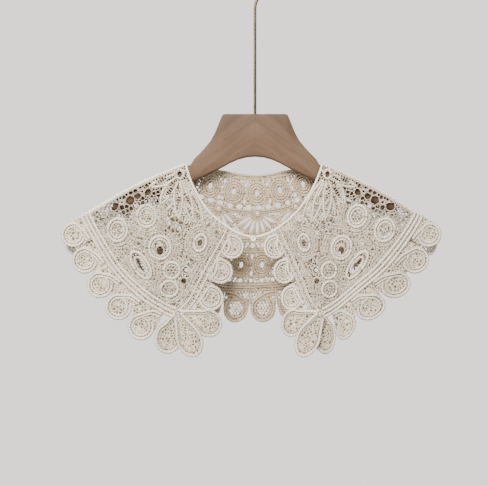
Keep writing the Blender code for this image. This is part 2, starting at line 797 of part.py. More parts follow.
def build_back():
    half = WALL / 2
    neck = back_neck_path()
    hem = [back_point(HEM_SPAN * (2 * index / HEM_STEPS - 1), 1.0) for index in range(HEM_STEPS + 1)]
    band = laid_back(neck + beside(neck, NECK_BAND)[::-1])
    band_grown = laid_back(beside(neck, -SEAM) + beside(neck, NECK_BAND + SEAM)[::-1])
    braid = laid_back(band_outline(hem, HEM_BRAID_HALF))
    braid_grown = laid_back(band_outline(hem, HEM_BRAID_HALF + SEAM))
    top = above_shoulder()

    gaps = []
    for row, count, half_width, half_height, shift in BACK_OVAL_ROWS:
        for index in range(count):
            across = (index - (count - 1) / 2) / (count / 2) * OVAL_SPAN + shift
            gaps.append(back_figure(across, row, half_width, half_height))
    for row, count, half_width, half_height, start, end in BACK_GAP_ROWS:
        for index in range(count):
            across = start + (end - start) * (index + 0.5) / count
            gaps.append(back_figure(across, row, half_width, half_height))
    for index in range(FANS):
        across = (index - (FANS - 1) / 2) * FAN_STEP + FAN_SHIFT
        lean = back_lean(across, FAN_ROW)[1]
        for angle in FAN_ANGLES:
            turn = math.radians(angle - lean)
            place = back_point(across, FAN_ROW) + FAN_REACH * Vector((math.sin(turn), math.cos(turn)))
            gaps.append(oval(*place, *FAN_GAP, lean - angle, GAP_SIDES))

    outline = laid_back(neck + hem[::-1])
    wall("back", [outline], [band_grown, braid_grown, top] + [laid_back(gap) for gap in gaps],
         1, -half, half, (), spots_in(outline) + fold_spots(*BACK_FOLDS, (-1.0, 1.0)))
    wall("neck_band_back", [band], [top], 1, -half, half + BAND_RISE, (),
         fold_spots(*BAND_FOLDS, (-1.0, 1.0)))

    path = laid_back(hem)

    def braid_relief(point):
        share = distance_to(point, path) / HEM_BRAID_HALF
        return RIM_RISE * max(0.0, math.sin(math.pi * min(1.0, share)))

    crests = [laid_back(beside(hem[1:-1], offset))
              for offset in (-HEM_BRAID_HALF / 2, 0.0, HEM_BRAID_HALF / 2)]
    wall("hem_braid_back", [braid], [top], 1, -half, half, crests, (), braid_relief)

    placed = []
    for index in range(BACK_PETALS):
        across = (index - (BACK_PETALS - 1) / 2) / (BACK_PETALS / 2) * BACK_PETAL_SPAN
        here = back_point(across, 1.0)
        way, lean = back_lean(across, 1.0)
        centre = here + BACK_PETAL_STEP * Vector((-way.y, way.x))
        width, length = BACK_PETAL_RADIUS, BACK_PETAL_RADIUS * BACK_PETAL_LENGTH
        shape = (*centre, width, length, lean, PETAL_SIDES)
        petal = laid_back(oval(*shape))
        crest = laid_back(oval(*centre, width * PETAL_CREST, length * PETAL_CREST, lean, PETAL_SIDES))
        floor = laid_back(oval(*centre, width * PETAL_FLOOR, length * PETAL_FLOOR, lean, FLOOR_SIDES))

        def petal_relief(point, crest=crest):
            near = min((point - spot).length for spot in crest)
            return RIM_RISE if near < TOUCH else 0.0

        is_end = index in (0, BACK_PETALS - 1)
        base = BACK_PETAL_RADIUS * (END_FOOT_BASE if is_end else FOOT_BASE)
        foot = laid_back(petal_foot(centre, BACK_PETAL_RADIUS, [here], base))
        wall(f"petal_back_{index + 1:02d}", [petal, foot], [braid_grown, top] + placed,
             1, -half, half, [crest + crest[:1], floor + floor[:1]], (), petal_relief)
        placed.append(laid_back(oval(*shape, grow=SEAM)))
        wide_foot = petal_foot(centre, BACK_PETAL_RADIUS + 2 * SEAM, [here], base + SEAM)
        placed.append(laid_back(wide_foot))


# Closing, hanger and hook

def build_button():
    """A small ring button on the meeting ends of the neck edge."""
    x, length = BUTTON[0], down_the_cloth(-NECK_HALF, BUTTON[1])
    low = EDGE_WALL / 2 + SEAM
    wall("neck_button", [oval(x, length, BUTTON_RADIUS, BUTTON_RADIUS, 0.0, RING_SIDES)],
         [oval(x, length, BUTTON_HOLE, BUTTON_HOLE, 0.0, GAP_SIDES)], -1, low, low + BUTTON_THICK,
         finish="button")


def board_section(out, top, bottom, half, round_off):
    """An eight-cornered section of the board, as points round the X axis."""
    low = min(round_off, (top - bottom) / 2 - 0.5)
    return [(out, -half, bottom + low), (out, -half + low, bottom), (out, half - low, bottom),
            (out, half, bottom + low), (out, half, top - low), (out, half - low, top),
            (out, -half + low, top), (out, -half, top - low)]


def build_hanger(side):
    """One wooden half, lofted through its sections from the middle to the arm's end."""
    sections = [board_section(out, top, bottom, BOARD_HALF, edge)
                for out, top, bottom, edge in BOARD_SECTIONS]
    for out, depth, half in ARM_SECTIONS:
        under = (out - COLLAR_X - NECK_HALF) / RIGHT_STRETCH
        top = -shoulder_line(under) - EDGE_WALL / 2 - ARM_CLEAR
        sections.append(board_section(out, top, top - depth, half, min(ARM_ROUND, half - 0.6)))
    sign = -1.0 if side == "left" else 1.0
    mesh = bmesh.new()
    loops = []
    for section in sections:
        loops.append([mesh.verts.new(MM * Vector((sign * x, y, NECK_Z + z))) for x, y, z in section])
    for near, far in zip(loops, loops[1:]):
        for index in range(len(near)):
            after = (index + 1) % len(near)
            mesh.faces.new([near[index], near[after], far[after], far[index]])
    mesh.faces.new(loops[0])
    mesh.faces.new(loops[-1])
    bmesh.ops.recalc_face_normals(mesh, faces=mesh.faces)
    made = bpy.data.meshes.new(f"hanger_{side}")
    mesh.to_mesh(made)
    mesh.free()
    add_object(f"hanger_{side}", made, "wood")


def hook_path():
    """The rod's middle line: stem, bend and the round of the hook."""
    radius = HOOK_INNER + ROD_RADIUS
    points = [Vector((0.0, 0.0, HANGER_TOP_Z + SEAM)), Vector((0.0, 0.0, BEND_FOOT_Z))]
    start = math.radians(HOOK_START)
    joint = Vector((radius * math.cos(start), 0.0, radius * math.sin(start) - HOOK_INNER))
    way = Vector((-math.sin(start), 0.0, math.cos(start)))
    foot = points[-1]
    reach = (joint - foot).length * 0.4
    near, far = foot + Vector((0.0, 0.0, reach)), joint - way * reach
    for step in range(1, BEND_STEPS):
        t = step / BEND_STEPS
        points.append(foot * (1 - t) ** 3 + near * 3 * t * (1 - t) ** 2
                      + far * 3 * t * t * (1 - t) + joint * t ** 3)
    for step in range(HOOK_STEPS + 1):
        angle = math.radians(HOOK_START + (HOOK_END - HOOK_START) * step / HOOK_STEPS)
        points.append(Vector((radius * math.cos(angle), 0.0,
                              radius * math.sin(angle) - HOOK_INNER)))
    return points


def build_hook():
    curve = bpy.data.curves.new("hook_rod", "CURVE")
    curve.dimensions = "3D"
    curve.bevel_depth = MM * ROD_RADIUS
    curve.bevel_resolution = 2
    curve.use_fill_caps = True
    route = hook_path()
    spline = curve.splines.new("POLY")
    spline.points.add(len(route) - 1)
    for point, place in zip(spline.points, route):
        point.co = (*(MM * place), 1.0)
    curve.materials.append(material("brass"))
    bpy.context.scene.collection.objects.link(bpy.data.objects.new("hook_rod", curve))


def main():
    for existing in list(bpy.data.objects):
        bpy.data.objects.remove(existing)
    build_front("left")
    build_front("right")
    build_back()
    build_button()
    build_hanger("left")
    build_hanger("right")
    build_hook()


main()
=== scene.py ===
import math
import random

import bpy
import bmesh
from mathutils import Matrix, Vector
from mathutils.geometry import delaunay_2d_cdt


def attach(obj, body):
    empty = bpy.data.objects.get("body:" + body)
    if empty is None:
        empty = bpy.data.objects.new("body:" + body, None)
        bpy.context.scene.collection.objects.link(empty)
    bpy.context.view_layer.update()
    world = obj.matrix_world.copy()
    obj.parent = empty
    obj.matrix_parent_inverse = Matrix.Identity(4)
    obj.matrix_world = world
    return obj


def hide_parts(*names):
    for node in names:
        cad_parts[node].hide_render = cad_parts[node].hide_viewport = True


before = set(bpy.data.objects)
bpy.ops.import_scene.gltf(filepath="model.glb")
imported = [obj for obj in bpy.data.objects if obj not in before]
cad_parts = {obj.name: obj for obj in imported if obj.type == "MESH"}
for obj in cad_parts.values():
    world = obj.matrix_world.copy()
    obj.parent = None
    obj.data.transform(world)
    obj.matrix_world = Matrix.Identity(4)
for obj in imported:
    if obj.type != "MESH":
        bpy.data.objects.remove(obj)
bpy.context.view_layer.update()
mm = 0.001
print("frame loaded")

# Sizes in the dictionaries are millimetres: out from the neck point and drop below it.
cloth = {
    "neckZ": -221.5, "collarX": -1.0, "neckHalf": 70.0,
    "shoulder": [(0.0, 0.0), (33.6, 13.7), (64.0, 28.4), (85.0, 40.5), (106.0, 53.2), (122.0, 61.6)],
    "rightStretch": 0.96, "rightSwing": 0.065,
    "tuck": 7.5, "tuckOut": 70.0, "tuckWidth": 34.0, "tuckLength": 100.0,
    "backSwing": 0.05, "backSwingFrom": 60.0,
    "foldRadius": 9.0, "foldTip": 4.5, "foldNarrows": (82.0, 112.0),
    "flare": 0.06, "waveDepth": 2.6, "waveLength": 62.0, "waveShift": 0.6, "waveEase": 110.0,
    "shellHalf": 0.35, "sharpAngle": 50,
}


# Curves and outlines in the flat

def curveThrough(table, steps):
    rows = [Vector(row) for row in table]
    ends = [2 * rows[0] - rows[1]] + rows + [2 * rows[-1] - rows[-2]]
    points = []
    for before, start, end, after in zip(ends, ends[1:], ends[2:], ends[3:]):
        for step in range(steps):
            t = step / steps
            points.append(0.5 * (2 * start + (end - before) * t
                                 + (2 * before - 5 * start + 4 * end - after) * t * t
                                 + (3 * start - before - 3 * end + after) * t ** 3))
    return points + [rows[-1]]


def resample(points, spacing):
    lengths = [0.0]
    for start, end in zip(points, points[1:]):
        lengths.append(lengths[-1] + (end - start).length)
    count = max(2, round(lengths[-1] / spacing))
    even = []
    piece = 0
    for index in range(count + 1):
        along = lengths[-1] * index / count
        while piece < len(points) - 2 and lengths[piece + 1] < along:
            piece += 1
        share = (along - lengths[piece]) / max(lengths[piece + 1] - lengths[piece], 1e-6)
        even.append(points[piece].lerp(points[piece + 1], min(1.0, share)))
    return even


def beside(points, offset):
    shifted = []
    for index, point in enumerate(points):
        ahead = points[min(index + 1, len(points) - 1)]
        behind = points[max(index - 1, 0)]
        way = (ahead - behind).normalized()
        shifted.append(point + offset * Vector((-way.y, way.x)))
    return shifted


def bandOutline(path, half):
    return beside(path, -half) + beside(path, half)[::-1]


def oval(centre, halfWidth, halfHeight, tilt=0.0, sides=10, phase=0.5):
    turn = math.radians(tilt)
    points = []
    for side in range(sides):
        angle = math.tau * (side + phase) / sides
        across, along = halfWidth * math.cos(angle), halfHeight * math.sin(angle)
        points.append(Vector((centre[0] + across * math.cos(turn) - along * math.sin(turn),
                              centre[1] + across * math.sin(turn) + along * math.cos(turn))))
    return points


def loopOf(outline):
    return outline + outline[:1]


def areaOf(outline):
    return sum(a.x * b.y - b.x * a.y for a, b in zip(outline, outline[1:] + outline[:1])) / 2


def isInside(point, outline):
    hit = False
    for start, end in zip(outline, outline[1:] + outline[:1]):
        if (start.y > point.y) != (end.y > point.y):
            hit ^= point.x < start.x + (point.y - start.y) * (end.x - start.x) / (end.y - start.y)
    return hit


def runsOf(points, closed, isGood):
    if closed:
        bad = next((index for index, point in enumerate(points) if not isGood(point)), None)
        if bad is None:
            return [(points, True)]
        points = points[bad:] + points[:bad]
    runs = [[]]
    for point in points:
        if isGood(point):
            runs[-1].append(point)
        elif runs[-1]:
            runs.append([])
    return [(run, False) for run in runs if len(run) > 2]


# The hung cloth: flat places become places in space

shoulderCurve = curveThrough(cloth["shoulder"], 6)


def shoulderLine(out):
    if out <= 0.0:
        return 0.0
    for start, end in zip(shoulderCurve, shoulderCurve[1:]):
        if out <= end.x:
            return start.y + (end.y - start.y) * (out - start.x) / (end.x - start.x)
    start, end = shoulderCurve[-2:]
    return end.y + (end.y - start.y) / (end.x - start.x) * (out - end.x)


def foldRadius(out):
    start, end = cloth["foldNarrows"]
    share = max(0.0, min(1.0, (out - start) / (end - start)))
    share = share * share * (3 - 2 * share)
    return cloth["foldRadius"] + (cloth["foldTip"] - cloth["foldRadius"]) * share


def downTheCloth(out, drop):
    radius = foldRadius(out)
    below = drop - shoulderLine(out)
    if below <= 0.0:
        return below
    if below < radius:
        return radius * math.acos(1.0 - below / radius)
    return radius * math.pi / 2 + below - radius


def middleOfCloth(x, length, face):
    stretch = cloth["rightStretch"] if x > 0 else 1.0
    out = (abs(x) - cloth["neckHalf"]) / stretch
    radius = foldRadius(out)
    quarter = radius * math.pi / 2
    if length < quarter:
        depth = radius * math.sin(length / radius)
        below = radius * (1.0 - math.cos(length / radius))
    else:
        hung = length - quarter
        wave = math.sin(math.tau * x / cloth["waveLength"] + cloth["waveShift"])
        depth = radius + cloth["flare"] * hung
        depth += cloth["waveDepth"] * wave * min(1.0, hung / cloth["waveEase"]) ** 2
        below = radius + hung
    swing = cloth["backSwing"] * max(0.0, below - cloth["backSwingFrom"]) if face > 0 else 0.0
    if face < 0 and x > 0:
        swing = cloth["rightSwing"] * below * min(1.0, x / cloth["neckHalf"])
        swing += (cloth["tuck"] * (below / cloth["tuckLength"]) ** 2
                  * math.exp(-((out - cloth["tuckOut"]) / cloth["tuckWidth"]) ** 2))
    return Vector((x - swing, face * depth, cloth["neckZ"] - shoulderLine(out) - below))


def hangPoint(x, length, face, lift):
    x = x or 0.001
    small = 0.05
    across = middleOfCloth(x + small, length, face) - middleOfCloth(x - small, length, face)
    down = middleOfCloth(x, length + small, face) - middleOfCloth(x, length - small, face)
    normal = down.cross(across).normalized() * (-1.0 if face > 0 else 1.0)
    place = middleOfCloth(x, length, face) + lift * normal
    return mm * (place + Vector((cloth["collarX"], 0.0, 0.0)))


def layFront(points, side):
    sign, rightStretch = (-1.0, 1.0) if side == "left" else (1.0, cloth["rightStretch"])
    return [Vector((sign * (cloth["neckHalf"] + out * (rightStretch if out > 0 else 1.0)),
                    downTheCloth(out, drop))) for out, drop in points]


def layBack(points, side=None):
    flat = []
    for point in points:
        stretch = cloth["rightStretch"] if point.x > 0 else 1.0
        out = abs(point.x) - cloth["neckHalf"]
        x = point.x if out <= 0 else math.copysign(cloth["neckHalf"] + out * stretch, point.x)
        flat.append(Vector((x, downTheCloth(out, point.y))))
    return flat


# Shader graphs written as expressions

class Value:
    def __init__(self, graph, socket):
        self.graph, self.socket = graph, socket

    def math(self, operation, first, second):
        return self.graph.node("ShaderNodeMath", {"operation": operation}, {0: first, 1: second})

    def __add__(self, other):
        return self.math("ADD", self, other)

    def __radd__(self, other):
        return self.math("ADD", other, self)

    def __sub__(self, other):
        return self.math("SUBTRACT", self, other)

    def __rsub__(self, other):
        return self.math("SUBTRACT", other, self)

    def __mul__(self, other):
        return self.math("MULTIPLY", self, other)

    def __rmul__(self, other):
        return self.math("MULTIPLY", other, self)

    def __truediv__(self, other):
        return self.math("DIVIDE", self, other)


class Finish:
    def __init__(self, name):
        self.material = bpy.data.materials.new(name)
        self.material.use_nodes = True
        self.tree = self.material.node_tree
        self.shader = self.tree.nodes["Principled BSDF"]

    def node(self, kind, settings=None, values=None, out=0):
        made = self.tree.nodes.new(kind)
        for key, value in (settings or {}).items():
            if key == "stops":
                ramp = made.color_ramp
                while len(ramp.elements) < len(value):
                    ramp.elements.new(0.5)
                for element, (place, colour) in zip(ramp.elements, value):
                    element.position = place
                    element.color = (*colour, 1.0)
            else:
                setattr(made, key, value)
        for key, value in (values or {}).items():
            if isinstance(value, Value):
                self.tree.links.new(value.socket, made.inputs[key])
            else:
                made.inputs[key].default_value = value
        return Value(self, made.outputs[out])

    def set(self, **values):
        for key, value in values.items():
            socket = self.shader.inputs[key.replace("_", " ")]
            if isinstance(value, Value):
                self.tree.links.new(value.socket, socket)
            else:
                socket.default_value = value

    def place(self):
        return self.node("ShaderNodeTexCoord", out=3)

    def noise(self, vector, scale, detail=3.0, roughness=0.55):
        return self.node("ShaderNodeTexNoise", {"noise_dimensions": "3D"},
                         {"Vector": vector, "Scale": scale, "Detail": detail, "Roughness": roughness})

    def blend(self, factor, first, second, mode="MIX"):
        return self.node("ShaderNodeMix", {"data_type": "RGBA", "blend_type": mode},
                         {0: factor, 6: first, 7: second}, out=2)

    def ramp(self, value, low, high, first=0.0, last=1.0):
        return self.node("ShaderNodeMapRange", None, {"Value": value, 1: low, 2: high, 3: first, 4: last})

    def bump(self, height, distance, strength=1.0):
        return self.node("ShaderNodeBump", None,
                         {"Height": height, "Distance": distance, "Strength": strength})


cottonLook = {
    # light and warm tones that mottle together, and the tone of the grooves, which is painted shade in the
    # grooves and on the cords' shaded sides
    "cord": ((0.89, 0.81, 0.695, 1.0), (0.76, 0.665, 0.535, 1.0), (0.10, 0.067, 0.040, 1.0)),
    # a darker copy of the same cotton: painted shade on the low, thin threads
    "thread": ((0.74, 0.65, 0.53, 1.0), (0.56, 0.47, 0.35, 1.0), (0.085, 0.055, 0.032, 1.0)),
    # a lighter copy of the same cotton: painted highlight on the top-lit shoulder ridge and the rolled edges
    "edge": ((0.94, 0.895, 0.82, 1.0), (0.90, 0.84, 0.74, 1.0), (0.45, 0.37, 0.28, 1.0)),
    # a darker copy of the same cotton: painted shade on the ground between the cords
    "ground": ((0.62, 0.53, 0.41, 1.0), (0.46, 0.375, 0.265, 1.0), (0.07, 0.043, 0.024, 1.0)),
    # darker tan copies of the same cotton: painted shade on the inside of the back, behind the fronts
    "shadedBackCord": ((0.64, 0.52, 0.37, 1.0), (0.52, 0.405, 0.27, 1.0), (0.14, 0.092, 0.055, 1.0)),
    "shadedBackGround": ((0.48, 0.38, 0.26, 1.0), (0.37, 0.275, 0.175, 1.0), (0.09, 0.058, 0.033, 1.0)),
    "roughness": 0.85, "sheen": 0.1, "sheenRoughness": 0.6, "bumpDepth": 0.0005,
    # noises: scale, detail, roughness
    "mottle": (95.0, 4.0), "fibre": (1400.0, 2.0, 0.7), "fibreInTone": 0.3, "fibreInBump": 0.5,
    # the net of dark dots in the ground, which is painted shade as if seen through open holes, and the twist
    # of a cord, with painted shade in its grooves and on the sides that turn away from the front and the top
    "meshScale": 340.0, "meshSlope": -3.4, "meshTop": 0.95, "cellShadeShare": 0.92,
    "twistShare": 0.34, "twistWander": 2.0, "grooveFrom": 0.30, "grooveTo": 0.70,
    "sideShadeShare": 0.95, "sideShadeFrom": 0.36, "sideShadeTo": 0.99,
    # the back's painted shade is tan in the middle and fades to the fronts' pale tones at its ends, in metres
    # from the middle
    "shadedUntil": 0.10, "plainFrom": 0.15,
}


def makeCotton(name, tones, twistPitch=None, outerTones=None):
    finish = Finish(name)
    place = finish.place()
    mottle = finish.noise(place, *cottonLook["mottle"])
    fibre = finish.noise(place, *cottonLook["fibre"])
    light, warm, grooveShade = cottonLook[tones]
    # the back's painted shade fades out towards its ends, where the fronts' tones take over
    if outerTones:
        far = finish.node("ShaderNodeMath", {"operation": "ABSOLUTE"},
                          {0: finish.node("ShaderNodeSeparateXYZ", None, {"Vector": place})})
        plain = finish.ramp(far, cottonLook["shadedUntil"], cottonLook["plainFrom"])
        light, warm, grooveShade = (finish.blend(plain, near, outer)
                               for near, outer in zip(cottonLook[tones], cottonLook[outerTones]))
    colour = finish.blend(mottle, light, warm)
    if twistPitch:
        # painted shade on the sides of a cord that turn away from the front and the top
        facing = finish.node("ShaderNodeAttribute", {"attribute_name": "facing"}, out=2)
        sideShade = finish.ramp(facing, cottonLook["sideShadeFrom"], cottonLook["sideShadeTo"],
                             cottonLook["sideShadeShare"], 0.0)
        colour = finish.blend(sideShade, colour, grooveShade)
        along = finish.node("ShaderNodeAttribute", {"attribute_name": "alongCord"}, out=2)
        around = finish.node("ShaderNodeAttribute", {"attribute_name": "roundCord"}, out=2)
        turns = along / twistPitch + around + mottle * cottonLook["twistWander"]
        stitch = finish.node("ShaderNodeMath", {"operation": "SINE"}, {0: turns * math.tau}) * 0.5 + 0.5
        deepest = cottonLook["twistShare"]
    else:
        # the ground's net of dark cells: painted shade, as if seen through open holes
        fromEdge = finish.node("ShaderNodeTexVoronoi", {"feature": "DISTANCE_TO_EDGE"},
                               {"Vector": place, "Scale": cottonLook["meshScale"]})
        stitch = fromEdge * cottonLook["meshSlope"] + cottonLook["meshTop"]
        deepest = cottonLook["cellShadeShare"]
    # painted shade laid into the twist's grooves or the net's cells
    deep = finish.ramp(stitch + fibre * cottonLook["fibreInTone"], cottonLook["grooveFrom"],
                       cottonLook["grooveTo"], deepest, 0.0)
    finish.set(Base_Color=finish.blend(deep, colour, grooveShade), Roughness=cottonLook["roughness"],
               Sheen_Weight=cottonLook["sheen"], Sheen_Roughness=cottonLook["sheenRoughness"],
               Normal=finish.bump(stitch + fibre * cottonLook["fibreInBump"], cottonLook["bumpDepth"]))
    return finish.material


woodLook = {"dark": (0.062, 0.0335, 0.0178), "middle": (0.086, 0.049, 0.028), "light": (0.116, 0.070, 0.042),
            "fleck": (0.62, 0.52, 0.45), "fleckShare": 0.7, "alongGrain": (0.80, -0.60),
            "grainScale": (14.0, 60.0, 130.0), "poreScale": (110.0, 700.0, 1500.0),
            "grainStops": (0.30, 0.50, 0.72), "fleckStops": (0.28, 0.42),
            "roughness": 0.55, "roughGrain": 0.15, "shine": 0.25, "bumpDepth": 0.0001, "bumpStrength": 0.5,
            "grainInBump": 0.4, "fleckInBump": 0.6, "grain": (1.0, 5.0, 0.6), "pores": (1.0, 2.0, 0.5)}


def makeWood():
    finish = Finish("beech")
    place = finish.place()
    parts = [finish.node("ShaderNodeSeparateXYZ", None, {"Vector": place}, out=axis) for axis in range(3)]
    side = finish.node("ShaderNodeMath", {"operation": "ABSOLUTE"}, {0: parts[0]})
    along, across = woodLook["alongGrain"]
    turned = finish.node("ShaderNodeCombineXYZ", None,
                         {0: side * along + parts[2] * across, 1: parts[1],
                          2: side * -across + parts[2] * along})
    stretched = finish.node("ShaderNodeMapping", None, {"Vector": turned, "Scale": woodLook["grainScale"]})
    grain = finish.noise(stretched, *woodLook["grain"])
    pores = finish.node("ShaderNodeMapping", None, {"Vector": turned, "Scale": woodLook["poreScale"]})
    flecks = finish.noise(pores, *woodLook["pores"])
    tones = [woodLook[tone] for tone in ("dark", "middle", "light")]
    bands = finish.node("ShaderNodeValToRGB", {"stops": list(zip(woodLook["grainStops"], tones))},
                        {"Fac": grain})
    tones = [woodLook["fleck"], (1.0, 1.0, 1.0)]
    fleck = finish.node("ShaderNodeValToRGB", {"stops": list(zip(woodLook["fleckStops"], tones))},
                        {"Fac": flecks})
    finish.set(Base_Color=finish.blend(woodLook["fleckShare"], bands, fleck, "MULTIPLY"),
               Roughness=grain * woodLook["roughGrain"] + woodLook["roughness"],
               Specular_IOR_Level=woodLook["shine"],
               Normal=finish.bump(grain * woodLook["grainInBump"] + flecks * woodLook["fleckInBump"],
                                  woodLook["bumpDepth"], woodLook["bumpStrength"]))
    return finish.material


brassLook = {"light": (0.105, 0.082, 0.060, 1.0), "dark": (0.058, 0.045, 0.032, 1.0),
             "drawnScale": (900.0, 900.0, 25.0), "roughness": 0.22, "roughDrawn": 0.16, "bumpDepth": 0.00005,
             "bumpStrength": 0.4}


def makeBrass():
    finish = Finish("brassRod")
    stretched = finish.node("ShaderNodeMapping", None,
                            {"Vector": finish.place(), "Scale": brassLook["drawnScale"]})
    drawn = finish.noise(stretched, 1.0)
    finish.set(Base_Color=finish.blend(drawn, brassLook["light"], brassLook["dark"]), Metallic=1.0,
               Roughness=drawn * brassLook["roughDrawn"] + brassLook["roughness"],
               Normal=finish.bump(drawn, brassLook["bumpDepth"], brassLook["bumpStrength"]))
    return finish.material


shellLook = {"light": (0.88, 0.85, 0.80, 1.0), "warm": (0.80, 0.76, 0.70, 1.0), "cloudScale": 400.0,
             "roughness": 0.32, "coat": 0.3}


def makeButtonShell():
    finish = Finish("buttonShell")
    cloud = finish.noise(finish.place(), shellLook["cloudScale"])
    finish.set(Base_Color=finish.blend(cloud, shellLook["light"], shellLook["warm"]),
               Roughness=shellLook["roughness"], Coat_Weight=shellLook["coat"])
    return finish.material


# the ground and thread finishes are darker copies of the one cotton (painted shade), and the rolled edge is a
# lighter copy (painted highlight)
shadedGroundCotton = makeCotton("shadedLaceGround", "ground")
cordCotton = makeCotton("laceCord", "cord", 0.0030)
shadedThreadCotton = makeCotton("shadedLaceThread", "thread", 0.0022)
litEdgeCotton = makeCotton("litRolledEdge", "edge", 0.0034)
# the back's finishes: painted shade inside the back, with the cords brightening to the edge's painted
# highlight at the ends
shadedBackGroundCotton = makeCotton("shadedLaceGroundBack", "shadedBackGround", None, "cord")
shadedBackCordCotton = makeCotton("shadedLaceCordBack", "shadedBackCord", 0.0030, "edge")
beech = makeWood()
brass = makeBrass()
print("materials ready")


# Geometry Nodes: a cord swept along every path of a piece

def sweepTree():
    tree = bpy.data.node_groups.new("sweepCords", "GeometryNodeTree")
    face = tree.interface
    face.new_socket("Geometry", in_out="INPUT", socket_type="NodeSocketGeometry")
    for label, kind in (("Cord radius", "Float"), ("Cord sides", "Int"), ("Thinnest", "Float"),
                        ("Thickest", "Float"), ("Wander", "Float"), ("Seed", "Int"), ("Finish", "Material")):
        face.new_socket(label, in_out="INPUT", socket_type=f"NodeSocket{kind}")
    face.new_socket("Geometry", in_out="OUTPUT", socket_type="NodeSocketGeometry")
    made = {name: tree.nodes.new(kind) for name, kind in (
        ("in", "NodeGroupInput"), ("out", "NodeGroupOutput"), ("along", "GeometryNodeSplineParameter"),
        ("keepAlong", "GeometryNodeStoreNamedAttribute"), ("circle", "GeometryNodeCurvePrimitiveCircle"),
        ("round", "GeometryNodeSplineParameter"), ("keepRound", "GeometryNodeStoreNamedAttribute"),
        ("drift", "FunctionNodeRandomValue"), ("back", "ShaderNodeVectorMath"),
        ("move", "GeometryNodeSetPosition"),
        ("swell", "FunctionNodeRandomValue"), ("sweep", "GeometryNodeCurveToMesh"),
        ("normal", "GeometryNodeInputNormal"), ("parts", "ShaderNodeSeparateXYZ"), ("front", "ShaderNodeMath"),
        ("facing", "ShaderNodeMath"), ("keepFacing", "GeometryNodeStoreNamedAttribute"),
        ("smooth", "GeometryNodeSetShadeSmooth"), ("realize", "GeometryNodeRealizeInstances"),
        ("finish", "GeometryNodeSetMaterial"))}
    # facing: how far the surface turns to the front or the top, which the cotton finishes read for painted
    # shade on a cord's sides
    for name, attribute in (("keepAlong", "alongCord"), ("keepRound", "roundCord"), ("keepFacing", "facing")):
        made[name].data_type = "FLOAT"
        made[name].domain = "POINT"
        made[name].inputs["Name"].default_value = attribute
    made["drift"].data_type = "FLOAT_VECTOR"
    made["swell"].data_type = "FLOAT"
    made["front"].operation = "ABSOLUTE"
    made["facing"].operation = "MAXIMUM"
    made["back"].operation = "SCALE"
    made["back"].inputs["Scale"].default_value = -1.0
    made["sweep"].inputs["Fill Caps"].default_value = True
    for start, output, end, entry in (
            ("in", "Geometry", "keepAlong", "Geometry"), ("along", "Length", "keepAlong", "Value"),
            ("in", "Wander", "back", 0), ("back", 0, "drift", 0), ("in", "Wander", "drift", 1),
            ("in", "Seed", "drift", "Seed"), ("keepAlong", "Geometry", "move", "Geometry"),
            ("drift", 0, "move", "Offset"), ("in", "Thinnest", "swell", 2), ("in", "Thickest", "swell", 3),
            ("in", "Seed", "swell", "Seed"), ("swell", 1, "sweep", "Scale"),
            ("in", "Cord sides", "circle", "Resolution"), ("in", "Cord radius", "circle", "Radius"),
            ("circle", "Curve", "keepRound", "Geometry"), ("round", "Factor", "keepRound", "Value"),
            ("move", "Geometry", "sweep", "Curve"), ("keepRound", "Geometry", "sweep", "Profile Curve"),
            ("normal", "Normal", "parts", 0), ("parts", "Y", "front", 0), ("front", 0, "facing", 0),
            ("parts", "Z", "facing", 1), ("facing", 0, "keepFacing", "Value"),
            ("sweep", "Mesh", "keepFacing", "Geometry"), ("keepFacing", "Geometry", "smooth", "Geometry"),
            ("smooth", "Geometry", "realize", "Geometry"),
            ("realize", "Geometry", "finish", "Geometry"), ("in", "Finish", "finish", "Material"),
            ("finish", "Geometry", "out", "Geometry")):
        tree.links.new(made[start].outputs[output], made[end].inputs[entry])
    return tree


cordTree = sweepTree()


def putInScene(name, data):
    made = bpy.data.objects.new(name, data)
    bpy.context.scene.collection.objects.link(made)
    return made


def applyTree(source, tree, values, name):
    modifier = source.modifiers.new("nodes", "NODES")
    modifier.node_group = tree
    for item in tree.interface.items_tree:
        if item.in_out == "INPUT" and item.name in values:
            modifier[item.identifier] = values[item.name]
    depsgraph = bpy.context.evaluated_depsgraph_get()
    mesh = bpy.data.meshes.new_from_object(source.evaluated_get(depsgraph), depsgraph=depsgraph)
    mesh.name = name
    bpy.data.objects.remove(source)
    return mesh


def sweptCords(name, paths, radius, sides, finish, swell=0.0, wander=0.0):
    curve = bpy.data.curves.new(name, "CURVE")
    curve.dimensions = "3D"
    for places, closed in paths:
        spline = curve.splines.new("POLY")
        spline.points.add(len(places) - 1)
        for point, place in zip(spline.points, places):
            point.co = (*place, 1.0)
        spline.use_cyclic_u = closed
    source = putInScene(name, curve)
    values = {"Cord radius": radius * mm, "Cord sides": sides, "Thinnest": 1.0 - swell,
              "Thickest": 1.0 + swell, "Wander": wander * mm, "Seed": 5, "Finish": finish}
    return applyTree(source, cordTree, values, name)


def pieceFrom(name, meshes, nodes=()):
    built = bmesh.new()
    finishes = []
    for mesh in meshes:
        start = len(built.faces)
        built.from_mesh(mesh)
        built.faces.ensure_lookup_table()
        if mesh.materials[0] not in finishes:
            finishes.append(mesh.materials[0])
        for face in built.faces[start:]:
            face.material_index = finishes.index(mesh.materials[0])
    joined = bpy.data.meshes.new(name)
    built.to_mesh(joined)
    built.free()
    for finish in finishes:
        joined.materials.append(finish)
    piece = putInScene(name, joined)
    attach(piece, "root")
    if nodes:
        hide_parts(*nodes)
    return piece


